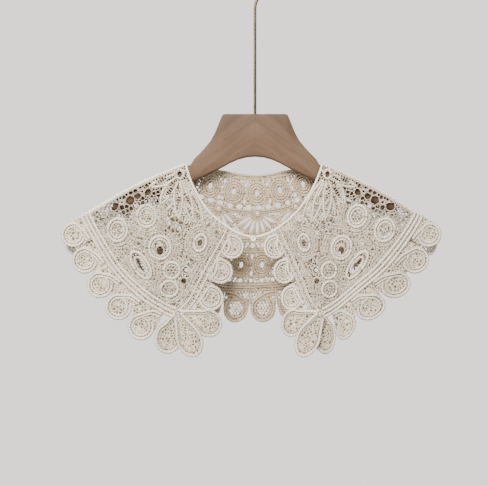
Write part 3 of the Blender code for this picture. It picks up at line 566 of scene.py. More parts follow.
def laceShell(name, keep, cuts, face, spots, finish, lift=0.0):
    points, faces = [], []
    for outline in keep + cuts:
        turned = outline if areaOf(outline) > 0 else outline[::-1]
        faces.append(list(range(len(points), len(points) + len(turned))))
        points += turned
    found, _, triangles, _, _, sources = delaunay_2d_cdt(points + spots, [], faces, 1, 1e-3, True)
    kept = [triangle for triangle, source in zip(triangles, sources)
            if any(index < len(keep) for index in source)
            and not any(index >= len(keep) for index in source)]
    built = bmesh.new()
    half = cloth["shellHalf"]
    front, rear = {}, {}
    for corner in sorted({corner for triangle in kept for corner in triangle}):
        x, length = found[corner]
        front[corner] = built.verts.new(hangPoint(x, length, face, lift + half))
        rear[corner] = built.verts.new(hangPoint(x, length, face, lift - half))
    edges = {edge for triangle in kept for edge in zip(triangle, triangle[1:] + triangle[:1])}
    for triangle in kept:
        built.faces.new([front[corner] for corner in triangle])
        built.faces.new([rear[corner] for corner in triangle[::-1]])
    for start, end in sorted(edges):
        if (end, start) not in edges:
            built.faces.new([front[end], front[start], rear[start], rear[end]])
    if built.calc_volume(signed=True) < 0.0:
        bmesh.ops.reverse_faces(built, faces=built.faces)
    for shellFace in built.faces:
        shellFace.smooth = True
    mesh = bpy.data.meshes.new(name)
    built.to_mesh(mesh)
    built.free()
    mesh.set_sharp_from_angle(angle=math.radians(cloth["sharpAngle"]))
    mesh.materials.append(finish)
    flatArea = sum(abs(areaOf([found[corner] for corner in triangle])) for triangle in kept)
    return mesh, flatArea * mm * mm


cordStyles = {
    # radius, step along the path, sides, how far it stands out of the ground
    "edge": {"radius": 1.15, "step": 1.8, "sides": 8, "lift": 0.3},
    "braid": {"radius": 1.6, "step": 1.8, "sides": 8, "lift": 0.3},
    "cord": {"radius": 1.15, "step": 1.5, "sides": 7, "lift": 0.3},
    "thin": {"radius": 0.8, "step": 1.4, "sides": 6, "lift": 0.35},
    "thread": {"radius": 0.48, "step": 1.3, "sides": 5, "lift": 0.35},
}
cordUnevenness = {"swell": 0.14, "wander": 0.12}
frontFinishes = {"edge": litEdgeCotton, "braid": cordCotton, "cord": cordCotton, "thin": shadedThreadCotton,
                 "thread": shadedThreadCotton, "ground": shadedGroundCotton}
# the back uses the shaded copies of the cotton everywhere: painted shade inside the back
shadedBackFinishes = {kind: shadedBackCordCotton for kind in cordStyles} | {"ground": shadedBackGroundCotton}


panelLook = {
    # how finely places are marked as taken, and the room that a cord, a hole and the cloth's edge take
    "cell": 3.0, "markStep": 0.9, "cordShare": 0.75, "holeEdge": 0.35, "clothEdge": 0.5, "ridgeRoom": 0.35,
    # spots that divide the shell: over the cloth, and closer over the roll of the shoulder
    "spotStep": 5, "rollStep": 4, "rollLengths": (3, 8, 13),
}
netLook = {"rowShare": 0.866, "jitter": 0.25, "wall": 0.25, "sizes": (0.82, 1.1), "heights": (0.95, 1.3),
           "turn": 25, "sides": 6}


class Panel:
    def __init__(self, name, face, lay, side, finishes, lift=0.0, rise=1.0):
        self.name, self.face, self.lay, self.side = name, face, lay, side
        self.finishes, self.lift, self.rise = finishes, lift, rise
        self.strokes, self.holes, self.keep = [], [], []
        self.marks = {}
        self.cell = panelLook["cell"]

    def mark(self, point, reach):
        cell = (int(point.x // self.cell), int(point.y // self.cell))
        self.marks.setdefault(cell, []).append((point.x, point.y, reach))

    def markPath(self, points, reach):
        for point in resample(points, panelLook["markStep"]):
            self.mark(point, reach)

    def room(self, point):
        column, row = int(point.x // self.cell), int(point.y // self.cell)
        free = 2 * self.cell
        for x in (column - 1, column, column + 1):
            for y in (row - 1, row, row + 1):
                for markX, markY, reach in self.marks.get((x, y), ()):
                    free = min(free, math.hypot(point.x - markX, point.y - markY) - reach)
        return free

    def onCloth(self, point):
        if self.lay([point], self.side)[0].y < panelLook["ridgeRoom"]:
            return False
        return any(isInside(point, outline) for outline in self.keep)

    def cord(self, points, kind="cord", closed=False, clear=None):
        style = cordStyles[kind]
        path = resample(loopOf(points) if closed else points, style["step"])
        path = path[:-1] if closed else path
        runs = runsOf(path, closed, lambda point: self.onCloth(point)
                      and (clear is None or self.room(point) > clear))
        for run, isLoop in runs:
            if clear is None or len(run) > 3:
                self.strokes.append((run, kind, isLoop))
                self.markPath(loopOf(run) if isLoop else run, style["radius"] * panelLook["cordShare"])

    def ring(self, centre, halfWidth, halfHeight=None, tilt=0.0, kind="cord", clear=None):
        self.cord(oval(centre, halfWidth, halfHeight or halfWidth, tilt, 24), kind, True, clear)

    def hole(self, centre, halfWidth, halfHeight, tilt=0.0, sides=8):
        outline = oval(centre, halfWidth, halfHeight, tilt, sides)
        self.holes.append(outline)
        self.markPath(loopOf(outline), panelLook["holeEdge"])
        self.mark(Vector(centre[:2]), min(halfWidth, halfHeight))

    def holeRow(self, path, pitch, halfWidth, halfHeight):
        places = resample(path, pitch)
        for place, ahead in zip(places, places[1:]):
            middle = place.lerp(ahead, 0.5)
            way = ahead - place
            if self.onCloth(middle) and self.room(middle) > halfHeight * 0.8:
                self.hole(middle, halfWidth, halfHeight, math.degrees(math.atan2(way.y, way.x)), 6)

    def net(self, pitch, size, seed, least=0.5, isWanted=None):
        random.seed(seed)
        for outline in self.keep:
            for point in resample(loopOf(outline), panelLook["markStep"]):
                if not any(isInside(point, other) for other in self.keep if other is not outline):
                    self.mark(point, panelLook["clothEdge"])
        points = [point for outline in self.keep for point in outline]
        lowX, highX = min(p.x for p in points), max(p.x for p in points)
        lowY, highY = min(p.y for p in points), max(p.y for p in points)
        rowStep, jitter, wall = pitch * netLook["rowShare"], netLook["jitter"], netLook["wall"]
        for row in range(int((highY - lowY) / rowStep) + 1):
            for step in range(int((highX - lowX) / pitch) + 1):
                shift = Vector((random.uniform(-jitter, jitter), random.uniform(-jitter, jitter)))
                point = Vector((lowX + pitch * (step + 0.5 * (row % 2)), lowY + rowStep * row)) + shift
                if isWanted and not isWanted(point):
                    continue
                free = self.room(point)
                if free > least + wall and self.onCloth(point):
                    radius = min(size * random.uniform(*netLook["sizes"]), free - wall)
                    height = min(free, radius * random.uniform(*netLook["heights"]))
                    turn = random.uniform(-netLook["turn"], netLook["turn"])
                    self.holes.append(oval(point, radius, height, turn, netLook["sides"], random.random()))
                    self.mark(point, radius)

    def build(self, nodes):
        laidKeep = [self.lay(outline, self.side) for outline in self.keep]
        laidHoles = [self.lay(hole, self.side) for hole in self.holes]
        allX, allY = ([point[axis] for outline in laidKeep for point in outline] for axis in (0, 1))
        start, end, step = int(min(allX)) + 2, int(max(allX)), panelLook["spotStep"]
        spots = [Vector((x, y)) for x in range(start, end, step) for y in range(1, int(max(allY)), step)]
        spots += [Vector((x, y)) for x in range(start, end, panelLook["rollStep"])
                  for y in panelLook["rollLengths"]]
        shell, flatArea = laceShell(self.name, laidKeep, laidHoles + [aboveShoulder], self.face, spots,
                                    self.finishes["ground"], self.lift)
        piece = pieceFrom(self.name, [shell], nodes)
        meshes = []
        for kind, style in cordStyles.items():
            lift = self.lift + self.rise * style["lift"]
            paths = [([hangPoint(x, length, self.face, lift) for x, length in self.lay(run, self.side)],
                      isLoop) for run, strokeKind, isLoop in self.strokes if strokeKind == kind]
            if paths:
                meshes.append(sweptCords(f"{self.name}.{kind}", paths, style["radius"], style["sides"],
                                         self.finishes[kind], **cordUnevenness))
        cords = pieceFrom(f"{self.name}Cords", meshes)
        flat = (round((max(allX) - min(allX)) * mm, 3), round((max(allY) - max(0.0, min(allY))) * mm, 3))
        print(self.name, len(self.holes), "holes", len(shell.polygons), "and", len(cords.data.polygons),
              "faces, flat", flat, "area", round(flatArea, 5))


aboveShoulder = [Vector((-230.0, -60.0)), Vector((230.0, -60.0))] \
    + [Vector((x, 0.05)) for x in range(230, -231, -4)]

# Petals: rims that curl round the lobe and run on along the braid

petalLook = {"footNeck": 0.97, "footStart": 0.4, "footTop": 1.06, "footBase": 1.0, "endFootBase": 0.6,
             "sides": 22,
             # share of the radius, shift along the foot, where the curl stops, cord
             "curls": [(0.90, 0.0, 235, "braid"), (0.66, 3.4, 300, "cord")],
             # where a curl runs on along the braid: share sideways, how much less with the shift, rise
             "tail": [(1.35, 0.1, 0.0), (0.75, 0.0, 0.6), (0.15, 0.0, 2.2)], "curlStart": -38, "curlStep": 18,
             # leaf-shaped petals: share of the size, cord, share of the foot's width
             "leafRims": [(0.91, "braid", 0.75), (0.69, "thin", 0.35)], "leafOpen": 0.80, "leafSides": 24,
             "rimSteps": 48}


def petalFoot(centre, radius, root, base):
    way = (root - centre).normalized()
    side = Vector((-way.y, way.x))
    shoulder = centre + way * radius * petalLook["footStart"]
    neck, top = side * radius * petalLook["footNeck"], side * radius * petalLook["footTop"]
    return [centre + neck, shoulder + top, root + side * base,
            root - side * base, shoulder - top, centre - neck]


def curledPetal(panel, centre, radius, root, tail, base, edge, length=1.0, lean=0.0):
    panel.keep += [oval(centre, radius, radius * length, lean, petalLook["sides"]),
                   petalFoot(centre, radius, root, base)]
    away = (centre - root).normalized()
    sideways = Vector((-away.y, away.x))
    if sideways.dot(tail) > 0:
        sideways.negate()
    for share, shift, stop, kind in petalLook["curls"]:
        table = [root - sideways * radius * (reach - less * shift) + away * (edge + rise + shift)
                 for reach, less, rise in petalLook["tail"]]
        for angle in range(petalLook["curlStart"], stop, petalLook["curlStep"]):
            turn = math.radians(angle)
            table.append(centre + radius * share * (math.cos(turn) * sideways
                                                    + length * math.sin(turn) * away))
        panel.cord(curveThrough(table, 3), kind)


def leafPetal(panel, centre, radius, length, tilt, root, base):
    panel.keep += [oval(centre, radius, radius * length, tilt, petalLook["leafSides"]),
                   petalFoot(centre, radius, root, base)]
    toRoot = (root - centre).normalized()
    side = Vector((-toRoot.y, toRoot.x))
    count = petalLook["rimSteps"]
    for share, kind, width in petalLook["leafRims"]:
        around = oval(centre, radius * share, radius * length * share, tilt, count)
        kept = [(point - centre).normalized().dot(toRoot) < petalLook["leafOpen"] for point in around]
        first = next(index for index in range(count) if kept[index] and not kept[index - 1])
        rim = [around[(first + step) % count] for step in range(sum(kept))]
        if (rim[0] - centre).dot(side) < 0:
            rim.reverse()
        ends = [root + side * base * width, root - side * base * width]
        panel.cord(curveThrough([ends[0]] + rim[::3] + [ends[1]], 3), kind)


# The fronts

fronts = {
    "neckline": [(0.0, 0.0), (-1.4, 7.5), (-7.4, 24.0), (-18.9, 44.1), (-33.0, 59.0), (-53.0, 72.3),
                 (-69.7, 77.2)],
    "outerBraid": [(111.0, 44.0), (102.0, 63.0), (86.0, 90.3), (69.3, 114.5), (44.1, 137.6),
                   (24.0, 151.0), (8.2, 158.2)],
    "innerBraid": [(-46.5, 66.5), (-38.0, 83.0), (-29.0, 99.0), (-18.9, 117.6), (-5.3, 143.9),
                   (8.2, 158.2)],
    "pointRing": (8.2, 158.2), "ringRadius": 4.6, "ringHole": 2.9, "ringCloth": 6.2,
    "braidHalf": 5.4, "innerBraidHalf": 4.2, "bindingWidth": 2.8, "ridgeRise": 4.0, "petalEdge": 1.6,
    "outerCords": (-4.2, 0.0, 4.2), "innerCords": (-2.8, 2.8), "neckEdge": -1.2,
    "neckCords": ((1.3, "thin"), (3.0, "thread"), (4.6, "thin"), (6.4, "thread")),
    # below the shoulder line, from and to, cord
    "ridgeCords": [(0.9, 2, 112, "edge"), (3.4, 14, 104, "thin")], "ridgeStep": 3,
    "cornerRing": (7.4, 12.4), "cornerSize": (3.9, 4.7),
    # rows of small holes: pitch, half width, half height
    "innerHoles": (2.5, 0.85, 0.75), "outerHoles": (3.0, 1.0, 0.55), "outerHolesAt": 2.05,
    "ridgeHoleSize": (3.4, 1.2, 0.95), "haloHoles": (2.9, 0.85, 0.55), "haloHolesAt": 1.5,
    # cords that echo the braids and the neck edge: the first one's distance, and the step to the next
    "echoes": {"outer": 8.4, "inner": -7.2, "neck": 8.6}, "echoStep": 3.0, "echoCount": 3, "echoRoom": 0.5,
    # out, drop, half width, half height, tilt, rings, halos: a ring past this share is a braid
    "braidShare": 0.8,
    "ovals": [
        (41.9, 56.3, 11.3, 13.0, 0.0, (0.88, 0.62), (3.2, 6.2, 9.0)),
        (72.0, 70.5, 11.3, 13.5, 0.0, (0.88, 0.62), (3.2, 6.2, 9.0)),
        (27.7, 89.0, 12.4, 13.2, 0.0, (0.90, 0.66), (3.2, 6.2, 9.0)),
        (15.5, 112.5, 9.0, 9.2, 0.0, (0.92,), (3.0, 5.8)),
        (18.0, 131.8, 9.6, 8.8, 0.0, (0.92,), (3.0, 5.8)),
        (47.5, 107.0, 8.0, 17.5, 33.0, (0.92, 0.55), (3.2, 6.2, 9.0)),
        (-14.0, 84.0, 6.6, 9.6, -16.0, (0.92,), (3.0, 5.8, 8.6)),
    ],
    # out, drop, half width, half height, tilt, rim of cord round it
    "rimRoom": 0.7,
    "gaps": [
        (7.4, 12.4, 2.4, 3.2, 0.0, ""), (18.2, 31.0, 2.2, 7.0, -32.0, ""), (8.6, 41.0, 2.2, 8.0, -8.0, ""),
        (-2.4, 44.0, 2.2, 8.0, 12.0, ""), (-11.5, 55.5, 2.2, 4.6, 24.0, ""), (26.0, 18.6, 1.9, 5.0, -64.0, ""),
        (3.0, 123.5, 3.0, 3.0, 0.0, "thin"),
        (1.0, 112.0, 2.8, 3.2, 0.0, "thin"), (-32.0, 73.5, 3.0, 2.4, -35.0, "thread"),
        (-22.0, 64.5, 2.4, 3.0, -35.0, "thread"),
        (27.7, 92.0, 3.4, 4.6, 0.0, "thin"), (47.5, 107.0, 2.2, 9.0, 33.0, ""),
        (-14.0, 84.0, 2.4, 3.8, -16.0, "thin"),
    ],
    # gaps of the shoulder band: out, drop, half width, half height
    "shoulderGaps": [
        (41.0, 31.2, 3.4, 2.5), (51.2, 35.6, 2.0, 3.6), (59.2, 39.8, 4.0, 4.6), (67.6, 47.4, 2.2, 1.9),
        (76.0, 46.2, 3.8, 4.2), (83.6, 49.0, 1.8, 3.2), (88.4, 59.0, 2.5, 2.7), (60.2, 55.6, 2.4, 2.4),
        (32.5, 40.8, 2.5, 2.5),
    ],
    "cellBand": {"start": 30.0, "end": 98.0, "top": 5.0, "depth": 24.0, "wall": 0.42, "grow": 1.08,
                 "round": 1.35, "reach": 18.0, "rim": 0.4, "seed": 14, "sides": 9,
                 # pitch and size of the small gaps that fill in, and how far they stray
                 "fillers": ((4.0, 1.7), (3.0, 1.15), (2.0, 0.75)), "stray": (0.6, 0.5), "room": 0.2,
                 # corners too near a cord draw in by this share, this often
                 "cornerRoom": 0.25, "drawIn": 0.88, "drawSteps": 8},
    # root out, root drop, tip out, tip drop, half width, bend of the leaves below the corner ring
    "leaves": [(10.5, 18.0, 27.5, 44.0, 4.6, -1.2), (12.5, 14.5, 38.8, 25.4, 3.4, 1.0),
               (8.5, 19.5, 8.0, 59.0, 4.4, -0.6), (5.6, 20.0, -6.0, 62.0, 4.2, 0.8),
               (2.6, 21.0, -17.0, 64.0, 3.8, 1.6)],
    "leafGaps": [(18.2, 31.0, -32.0, 7.0), (26.0, 18.6, -64.0, 5.0), (8.6, 41.0, -8.0, 8.0),
                 (-2.4, 44.0, 12.0, 8.0), (-11.5, 55.5, 24.0, 4.6)], "barPitch": 2.7, "barReach": 3.0,
    # ring places, radius, hole
    "smallRings": [(49.9, 84.6, 3.2, 1.6), (67.6, 41.6, 2.6, 1.3), (46.6, 30.4, 2.4, 1.2),
                   (57.2, 75.0, 2.6, 1.2), (62.5, 90.5, 2.8, 1.3), (86.5, 80.5, 2.8, 1.3),
                   (22.0, 71.5, 2.5, 1.1), (0.0, 98.5, 2.8, 1.3), (33.5, 121.5, 2.6, 1.2)],
    # flowers: out, drop, centre, reach, petals
    "flowers": [(15.5, 112.5, 1.9, 5.2, 6), (18.0, 131.8, 1.8, 5.0, 5), (12.0, 65.5, 2.6, 9.4, 8)],
    # a row of small square holes below the ridge
    "ridgeHoles": [(15.0, 11.2), (36.0, 19.6)],
    # out, drop, radius, length, tilt, layer
    "petals": [
        (118.6, 75.5, 12.8, 1.0, 0.0, 0), (106.4, 102.0, 13.6, 1.0, 0.0, 0), (90.0, 127.4, 13.6, 1.0, 0.0, 0),
        (70.6, 150.2, 13.6, 1.0, 0.0, 0), (46.8, 170.4, 13.6, 1.0, 0.0, 0),
        (18.4, 182.0, 14.0, 1.18, -14.0, 0),
        (-22.6, 166.6, 13.6, 1.1, 38.0, 0), (-3.6, 183.6, 13.0, 1.45, 22.0, 1),
        (-25.2, 140.9, 13.0, 1.0, 0.0, 0),
        (-35.0, 113.4, 13.0, 1.0, 0.0, 0), (-46.8, 88.0, 12.6, 1.0, 0.0, 0),
    ],
    "pointPetals": (6, 7, 8), "pointBase": 4.6, "layerStep": 3.8,
    "netPitch": 1.4, "netSeed": 11, "netSizes": [(1.25, 0.8), (0.75, 0.42)],
}
leafLook = {"steps": 16, "outlines": [(1.0, "cord"), (0.72, "thread")], "rootShare": 0.12, "fullness": 0.8,
            "room": 0.15}
flowerLook = {"shift": 0.4, "ringRoom": 0.7, "spread": 0.55, "spokeRoom": 0.3, "least": 0.4,
              "wide": 0.85, "tall": 1.2, "endRoom": 0.6, "sides": 7}


def drawLeaf(panel, root, tip, halfWidth, bend):
    way = (tip - root).normalized()
    side = Vector((-way.y, way.x))
    first = leafLook["rootShare"]
    for share, kind in leafLook["outlines"]:
        for sign in (-1, 1):
            points = []
            for step in range(leafLook["steps"] + 1):
                t = step / leafLook["steps"]
                swell = math.sin(math.pi * min(1.0, first + (1.0 - first) * t)) ** leafLook["fullness"]
                points.append(root.lerp(tip, t) + side * (sign * share * halfWidth * swell
                                                          + bend * math.sin(math.pi * t)))
            panel.cord(points, kind, clear=leafLook["room"])


def drawBars(panel, centre, tilt, reach):
    turn = math.radians(tilt)
    along = Vector((-math.sin(turn), math.cos(turn)))
    across = Vector((along.y, -along.x)) * fronts["barReach"]
    count = int(2 * reach / fronts["barPitch"])
    for index in range(count):
        middle = centre + along * fronts["barPitch"] * (index - (count - 1) / 2)
        panel.cord([middle - across, middle, middle + across], "thread")


def drawFlower(panel, centre, middle, reach, count):
    panel.ring(centre, middle, kind="thin")
    panel.ring(centre, reach, kind="thin")
    for spoke in range(count):
        angle = math.tau * spoke / count
        way = Vector((math.sin(angle), -math.cos(angle)))
        panel.cord([centre + way * middle, centre + way * reach], "thread")
        turn = angle + math.pi / count
        between = Vector((math.sin(turn), -math.cos(turn)))
        hole = centre + between * (middle + reach + flowerLook["shift"]) / 2
        half = (reach - middle) / 2
        size = min(half - flowerLook["ringRoom"], flowerLook["spread"] * (middle + reach)
                   * math.sin(math.pi / count) - flowerLook["spokeRoom"])
        if size > flowerLook["least"]:
            height = min(size * flowerLook["tall"], half - flowerLook["endRoom"])
            panel.hole(hole, size * flowerLook["wide"], height, math.degrees(turn), flowerLook["sides"])


def clipped(outline, origin, way, limit):
    kept = []
    for start, end in zip(outline, outline[1:] + outline[:1]):
        before, after = (start - origin).dot(way) - limit, (end - origin).dot(way) - limit
        if before <= 0.0:
            kept.append(start)
        if before * after < 0.0:
            kept.append(start.lerp(end, before / (before - after)))
    return kept


def drawCells(panel):
    # many-sided gaps below the ridge, with thin bars of thread between them
    band = fronts["cellBand"]
    strayOut, strayDown = band["stray"]
    random.seed(band["seed"])
    seeds = [(Vector((out, drop)), (halfWidth + halfHeight) / 2 * band["grow"])
             for out, drop, halfWidth, halfHeight in fronts["shoulderGaps"]]
    for pitch, size in band["fillers"]:
        for out in range(int(band["start"] * 2), int(band["end"] * 2), int(pitch * 2)):
            top = shoulderLine(out / 2)
            for step in range(int(band["depth"] / pitch) + 1):
                point = Vector((out / 2 + random.uniform(-strayOut, strayOut),
                                top + band["top"] + size + pitch * step
                                + random.uniform(-strayDown, strayDown)))
                if point.y < top + band["depth"] and panel.room(point) > size + band["room"] \
                        and all((point - other).length > size + otherSize + band["wall"]
                                for other, otherSize in seeds):
                    seeds.append((point, size))
    for seed, size in seeds:
        cell = oval(seed, size * band["round"], size * band["round"], 0.0, band["sides"])
        for other, otherSize in seeds:
            way = other - seed
            reach = way.length
            if 0.01 < reach < band["reach"]:
                limit = (reach + (size * size - otherSize * otherSize) / reach) / 2 - band["wall"]
                cell = clipped(cell, seed, way / reach, limit)
        for _ in range(band["drawSteps"]):
            cell = [point if panel.room(point) > band["cornerRoom"] else seed.lerp(point, band["drawIn"])
                    for point in cell]
        if len(cell) > 2:
            panel.holes.append(cell)
            rim = [point + (point - seed).normalized() * band["rim"] for point in cell]
            panel.strokes.append((rim, "thread", True))
    for seed, size in seeds:
        panel.mark(seed, size + band["wall"])


def drawFront(side):
    panel = Panel(f"{side}Front", -1, layFront, side, frontFinishes)
    outer = resample(curveThrough(fronts["outerBraid"], 8), 4.0)
    inner = resample(curveThrough(fronts["innerBraid"], 8), 4.0)
    neck = resample(curveThrough(fronts["neckline"], 8), 3.0)
    ring = Vector(fronts["pointRing"])
    start = next(index for index, point in enumerate(neck) if point.x < inner[0].x)
    ridge = [Vector((out, shoulderLine(out) - fronts["ridgeRise"])) for out in range(0, 110, 8)]
    ground = ridge + outer + inner[::-1] + neck[start - 1::-1]
    panel.keep += [ground, bandOutline(outer, fronts["braidHalf"]),
                   bandOutline(inner, fronts["innerBraidHalf"]),
                   oval(ring, fronts["ringCloth"], fronts["ringCloth"], 0.0, 16),
                   neck + beside(neck, -fronts["bindingWidth"])[::-1]]

    for number, (out, drop, radius, length, tilt, layer) in enumerate(fronts["petals"], 1):
        centre = Vector((out, drop))
        if layer:
            continue
        if number in fronts["pointPetals"]:
            leafPetal(panel, centre, radius, length, tilt, ring, fronts["pointBase"])
            continue
        path, half = (outer, fronts["braidHalf"]) if out > ring.x else (inner, fronts["innerBraidHalf"])
        near = min(range(1, len(path) - 1), key=lambda index: (path[index] - centre).length)
        tail = path[near + 1] - path[near - 1]
        root = min(path, key=lambda point: (point - centre).length)
        curledPetal(panel, centre, radius, root, tail, radius * petalLook["footBase"],
                    half + fronts["petalEdge"])

    for offset in fronts["outerCords"]:
        panel.cord(beside(outer[1:-1], offset), "braid")
    for offset in fronts["innerCords"]:
        panel.cord(beside(inner[1:-1], offset), "cord")
    panel.holeRow(inner[1:-1], *fronts["innerHoles"])
    panel.holeRow(beside(outer[1:9], fronts["outerHolesAt"]), *fronts["outerHoles"])
    panel.cord(beside(neck, fronts["neckEdge"]), "edge")
    for offset, kind in fronts["neckCords"]:
        panel.cord(beside(neck[1:start], offset), kind)
    panel.ring(ring, fronts["ringRadius"], kind="cord")
    panel.hole(ring, fronts["ringHole"], fronts["ringHole"], 0.0, 12)
    for below, first, last, kind in fronts["ridgeCords"]:
        panel.cord([Vector((out, shoulderLine(out) + below))
                    for out in range(first, last, fronts["ridgeStep"])], kind)
    panel.holeRow([Vector(place) for place in fronts["ridgeHoles"]], *fronts["ridgeHoleSize"])
    panel.ring(Vector(fronts["cornerRing"]), *fronts["cornerSize"], kind="cord")
    for out, drop, halfWidth, halfHeight, tilt, rim in fronts["gaps"]:
        panel.hole((out, drop), halfWidth, halfHeight, tilt, 10)
        if rim:
            panel.ring((out, drop), halfWidth + fronts["rimRoom"], halfHeight + fronts["rimRoom"], tilt, rim)
    for out, drop, halfWidth, halfHeight, tilt, rings, halos in fronts["ovals"]:
        for share in rings:
            panel.ring((out, drop), halfWidth * share, halfHeight * share, tilt,
                       "braid" if share > fronts["braidShare"] else "cord")
    for rootOut, rootDrop, tipOut, tipDrop, halfWidth, bend in fronts["leaves"]:
        drawLeaf(panel, Vector((rootOut, rootDrop)), Vector((tipOut, tipDrop)), halfWidth, bend)
    for out, drop, tilt, reach in fronts["leafGaps"]:
        drawBars(panel, Vector((out, drop)), tilt, reach)
    for out, drop, middle, reach, count in fronts["flowers"]:
        drawFlower(panel, Vector((out, drop)), middle, reach, count)
    for out, drop, radius, hole in fronts["smallRings"]:
        panel.ring((out, drop), radius, kind="thin")
        panel.hole((out, drop), hole, hole)

    drawCells(panel)
    echoed = {"outer": outer[1:-3], "inner": inner[2:-3], "neck": neck[2:start]}
    for step in range(fronts["echoCount"]):
        for out, drop, halfWidth, halfHeight, tilt, rings, halos in fronts["ovals"]:
            if step < len(halos):
                panel.ring((out, drop), halfWidth + halos[step], halfHeight + halos[step], tilt,
                           "thin", fronts["echoRoom"])
                if step == 0:
                    room = fronts["haloHolesAt"]
                    around = oval((out, drop), halfWidth + room, halfHeight + room, tilt, 24)
                    panel.holeRow(loopOf(around), *fronts["haloHoles"])
        for name, first in fronts["echoes"].items():
            offset = first + math.copysign(fronts["echoStep"] * step, first)
            panel.cord(beside(echoed[name], offset), "thin", clear=fronts["echoRoom"])
    for size, least in fronts["netSizes"]:
        panel.net(fronts["netPitch"], size, fronts["netSeed"], least, lambda point: isInside(point, ground))
    names = [f"front_{side}", f"outer_braid_{side}", f"inner_braid_{side}", f"point_ring_{side}",
             f"neck_binding_{side}"]
    names += [f"petal_{side}_{number:02d}" for number, row in enumerate(fronts["petals"], 1) if not row[5]]
    panel.build(names)
    for number, (out, drop, radius, length, tilt, layer) in enumerate(fronts["petals"], 1):
        if layer:
            top = Panel(f"{side}PointPetal", -1, layFront, side, frontFinishes, layer * fronts["layerStep"])
            leafPetal(top, Vector((out, drop)), radius, length, tilt, ring, fronts["pointBase"])
            top.build([f"petal_{side}_{number:02d}"])


drawFront("left")
drawFront("right")
print("fronts built")

# The back

back = {
    "neck": [(0.0, 12.0), (16.0, 10.8), (32.0, 7.4), (48.0, 5.8), (62.0, 5.4), (69.2, 4.2), (70.0, 0.0),
             (70.2, -4.0)],
    "hemDrop": 131.5, "hemOut": 112.0, "band": 6.5, "hemHalf": 4.0, "ovalSpan": 0.97,
    # row, how many, half width, half height, hole width, hole height, shift across
    "ovalRows": [(0.165, 7, 10.2, 12.0, 2.1, 3.6, 0.034), (0.80, 14, 9.6, 11.6, 2.1, 3.6, 0.0)],
    "ovalRings": [(0.98, "cord"), (0.74, "cord"), (0.50, "cord")],
    # row, how many, half width, half height, start and end across
    "gapRows": [(0.288, 18, 3.2, 2.8, -0.9, 0.9), (0.625, 23, 2.6, 2.7, -0.93, 0.93),
                (0.937, 29, 2.3, 2.2, -0.955, 0.955)],
    "fans": 5, "fanRow": 0.335, "fanStep": 0.38, "fanShift": 0.03, "fanAngles": (-60, -40, -20, 0, 20, 40, 60),
    "fanReach": 15.5, "fanGap": (1.5, 7.2), "fanRing": 3.4, "fanHole": 1.7, "fanHalfStep": 10,
    "barFrom": 5.2, "barTo": 24.5, "barSpread": 3.4,
    # distance from the edge or the hem's middle, cord
    "neckCords": [(1.3, "edge"), (3.4, "thread"), (5.2, "thin")], "hemCords": (-2.6, 0.2, 3.0),
    # between two ovals: rise above and below, half width, half height
    "betweenOvals": (0.075, 1.7, 2.8), "ridgeCord": (0.9, 2, 108, 3), "hemSteps": 44, "hemSpan": 1.03,
    "rowSteps": 60, "rowSpan": 0.995, "rowRoom": 0.1, "petalEdge": 0.8, "wayStep": 0.01,
    "cordRows": [(0.262, "thread"), (0.320, "cord"), (0.338, "thin"), (0.565, "cord"), (0.588, "thin"),
                 (0.66, "thin"), (0.685, "cord"), (0.905, "thin"), (0.962, "thread")],
    "petals": 14, "petalRadius": 13.0, "petalLength": 1.16,
    "petalStep": 22.5, "petalSpan": 1.01, "netPitch": 3.3, "netSize": 1.4, "netSeed": 31, "netLeast": 0.3,
}
backCurve = curveThrough(back["neck"], 6)


def backNeckDrop(across):
    reach = abs(across) * cloth["neckHalf"]
    for start, end in zip(backCurve, backCurve[1:]):
        if reach <= end.x:
            return start.y + (end.y - start.y) * (reach - start.x) / (end.x - start.x)
    return 0.0


def backPoint(across, row):
    out = row * back["hemOut"]
    top = shoulderLine(out)
    roundShare = 1.0 - across * across
    first = back["neck"][0][1]
    centre = first + row * (back["hemDrop"] - first)
    drop = top + (centre - top) * roundShare + (1.0 - row) * (backNeckDrop(across) - first * roundShare)
    return Vector((across * (cloth["neckHalf"] + out), drop))


def backRow(row, count, start=-1.0, end=1.0):
    return [backPoint(start + (end - start) * index / count, row) for index in range(count + 1)]


def wayAt(across, row):
    return backPoint(across + back["wayStep"], row) - backPoint(across - back["wayStep"], row)


def leanAt(across, row):
    way = wayAt(across, row)
    return math.degrees(math.atan2(way.y, way.x))


def drawFan(panel, across):
    middle, lean = backPoint(across, back["fanRow"]), leanAt(across, back["fanRow"])
    panel.ring(middle, back["fanRing"], kind="cord")
    panel.hole(middle, back["fanHole"], back["fanHole"])

    def spoke(angle, reach):
        turn = math.radians(angle - lean)
        return middle + reach * Vector((math.sin(turn), math.cos(turn)))

    for angle in back["fanAngles"]:
        panel.hole(spoke(angle, back["fanReach"]), *back["fanGap"], lean - angle, 8)
    halfStep = back["fanHalfStep"]
    edges = [angle - halfStep for angle in back["fanAngles"]] + [back["fanAngles"][-1] + halfStep]
    for angle in edges:
        for spread in (-back["barSpread"], back["barSpread"]):
            panel.cord([spoke(angle, back["barFrom"]), spoke(angle + spread * 0.5, back["fanReach"]),
                        spoke(angle + spread, back["barTo"])], "thin")


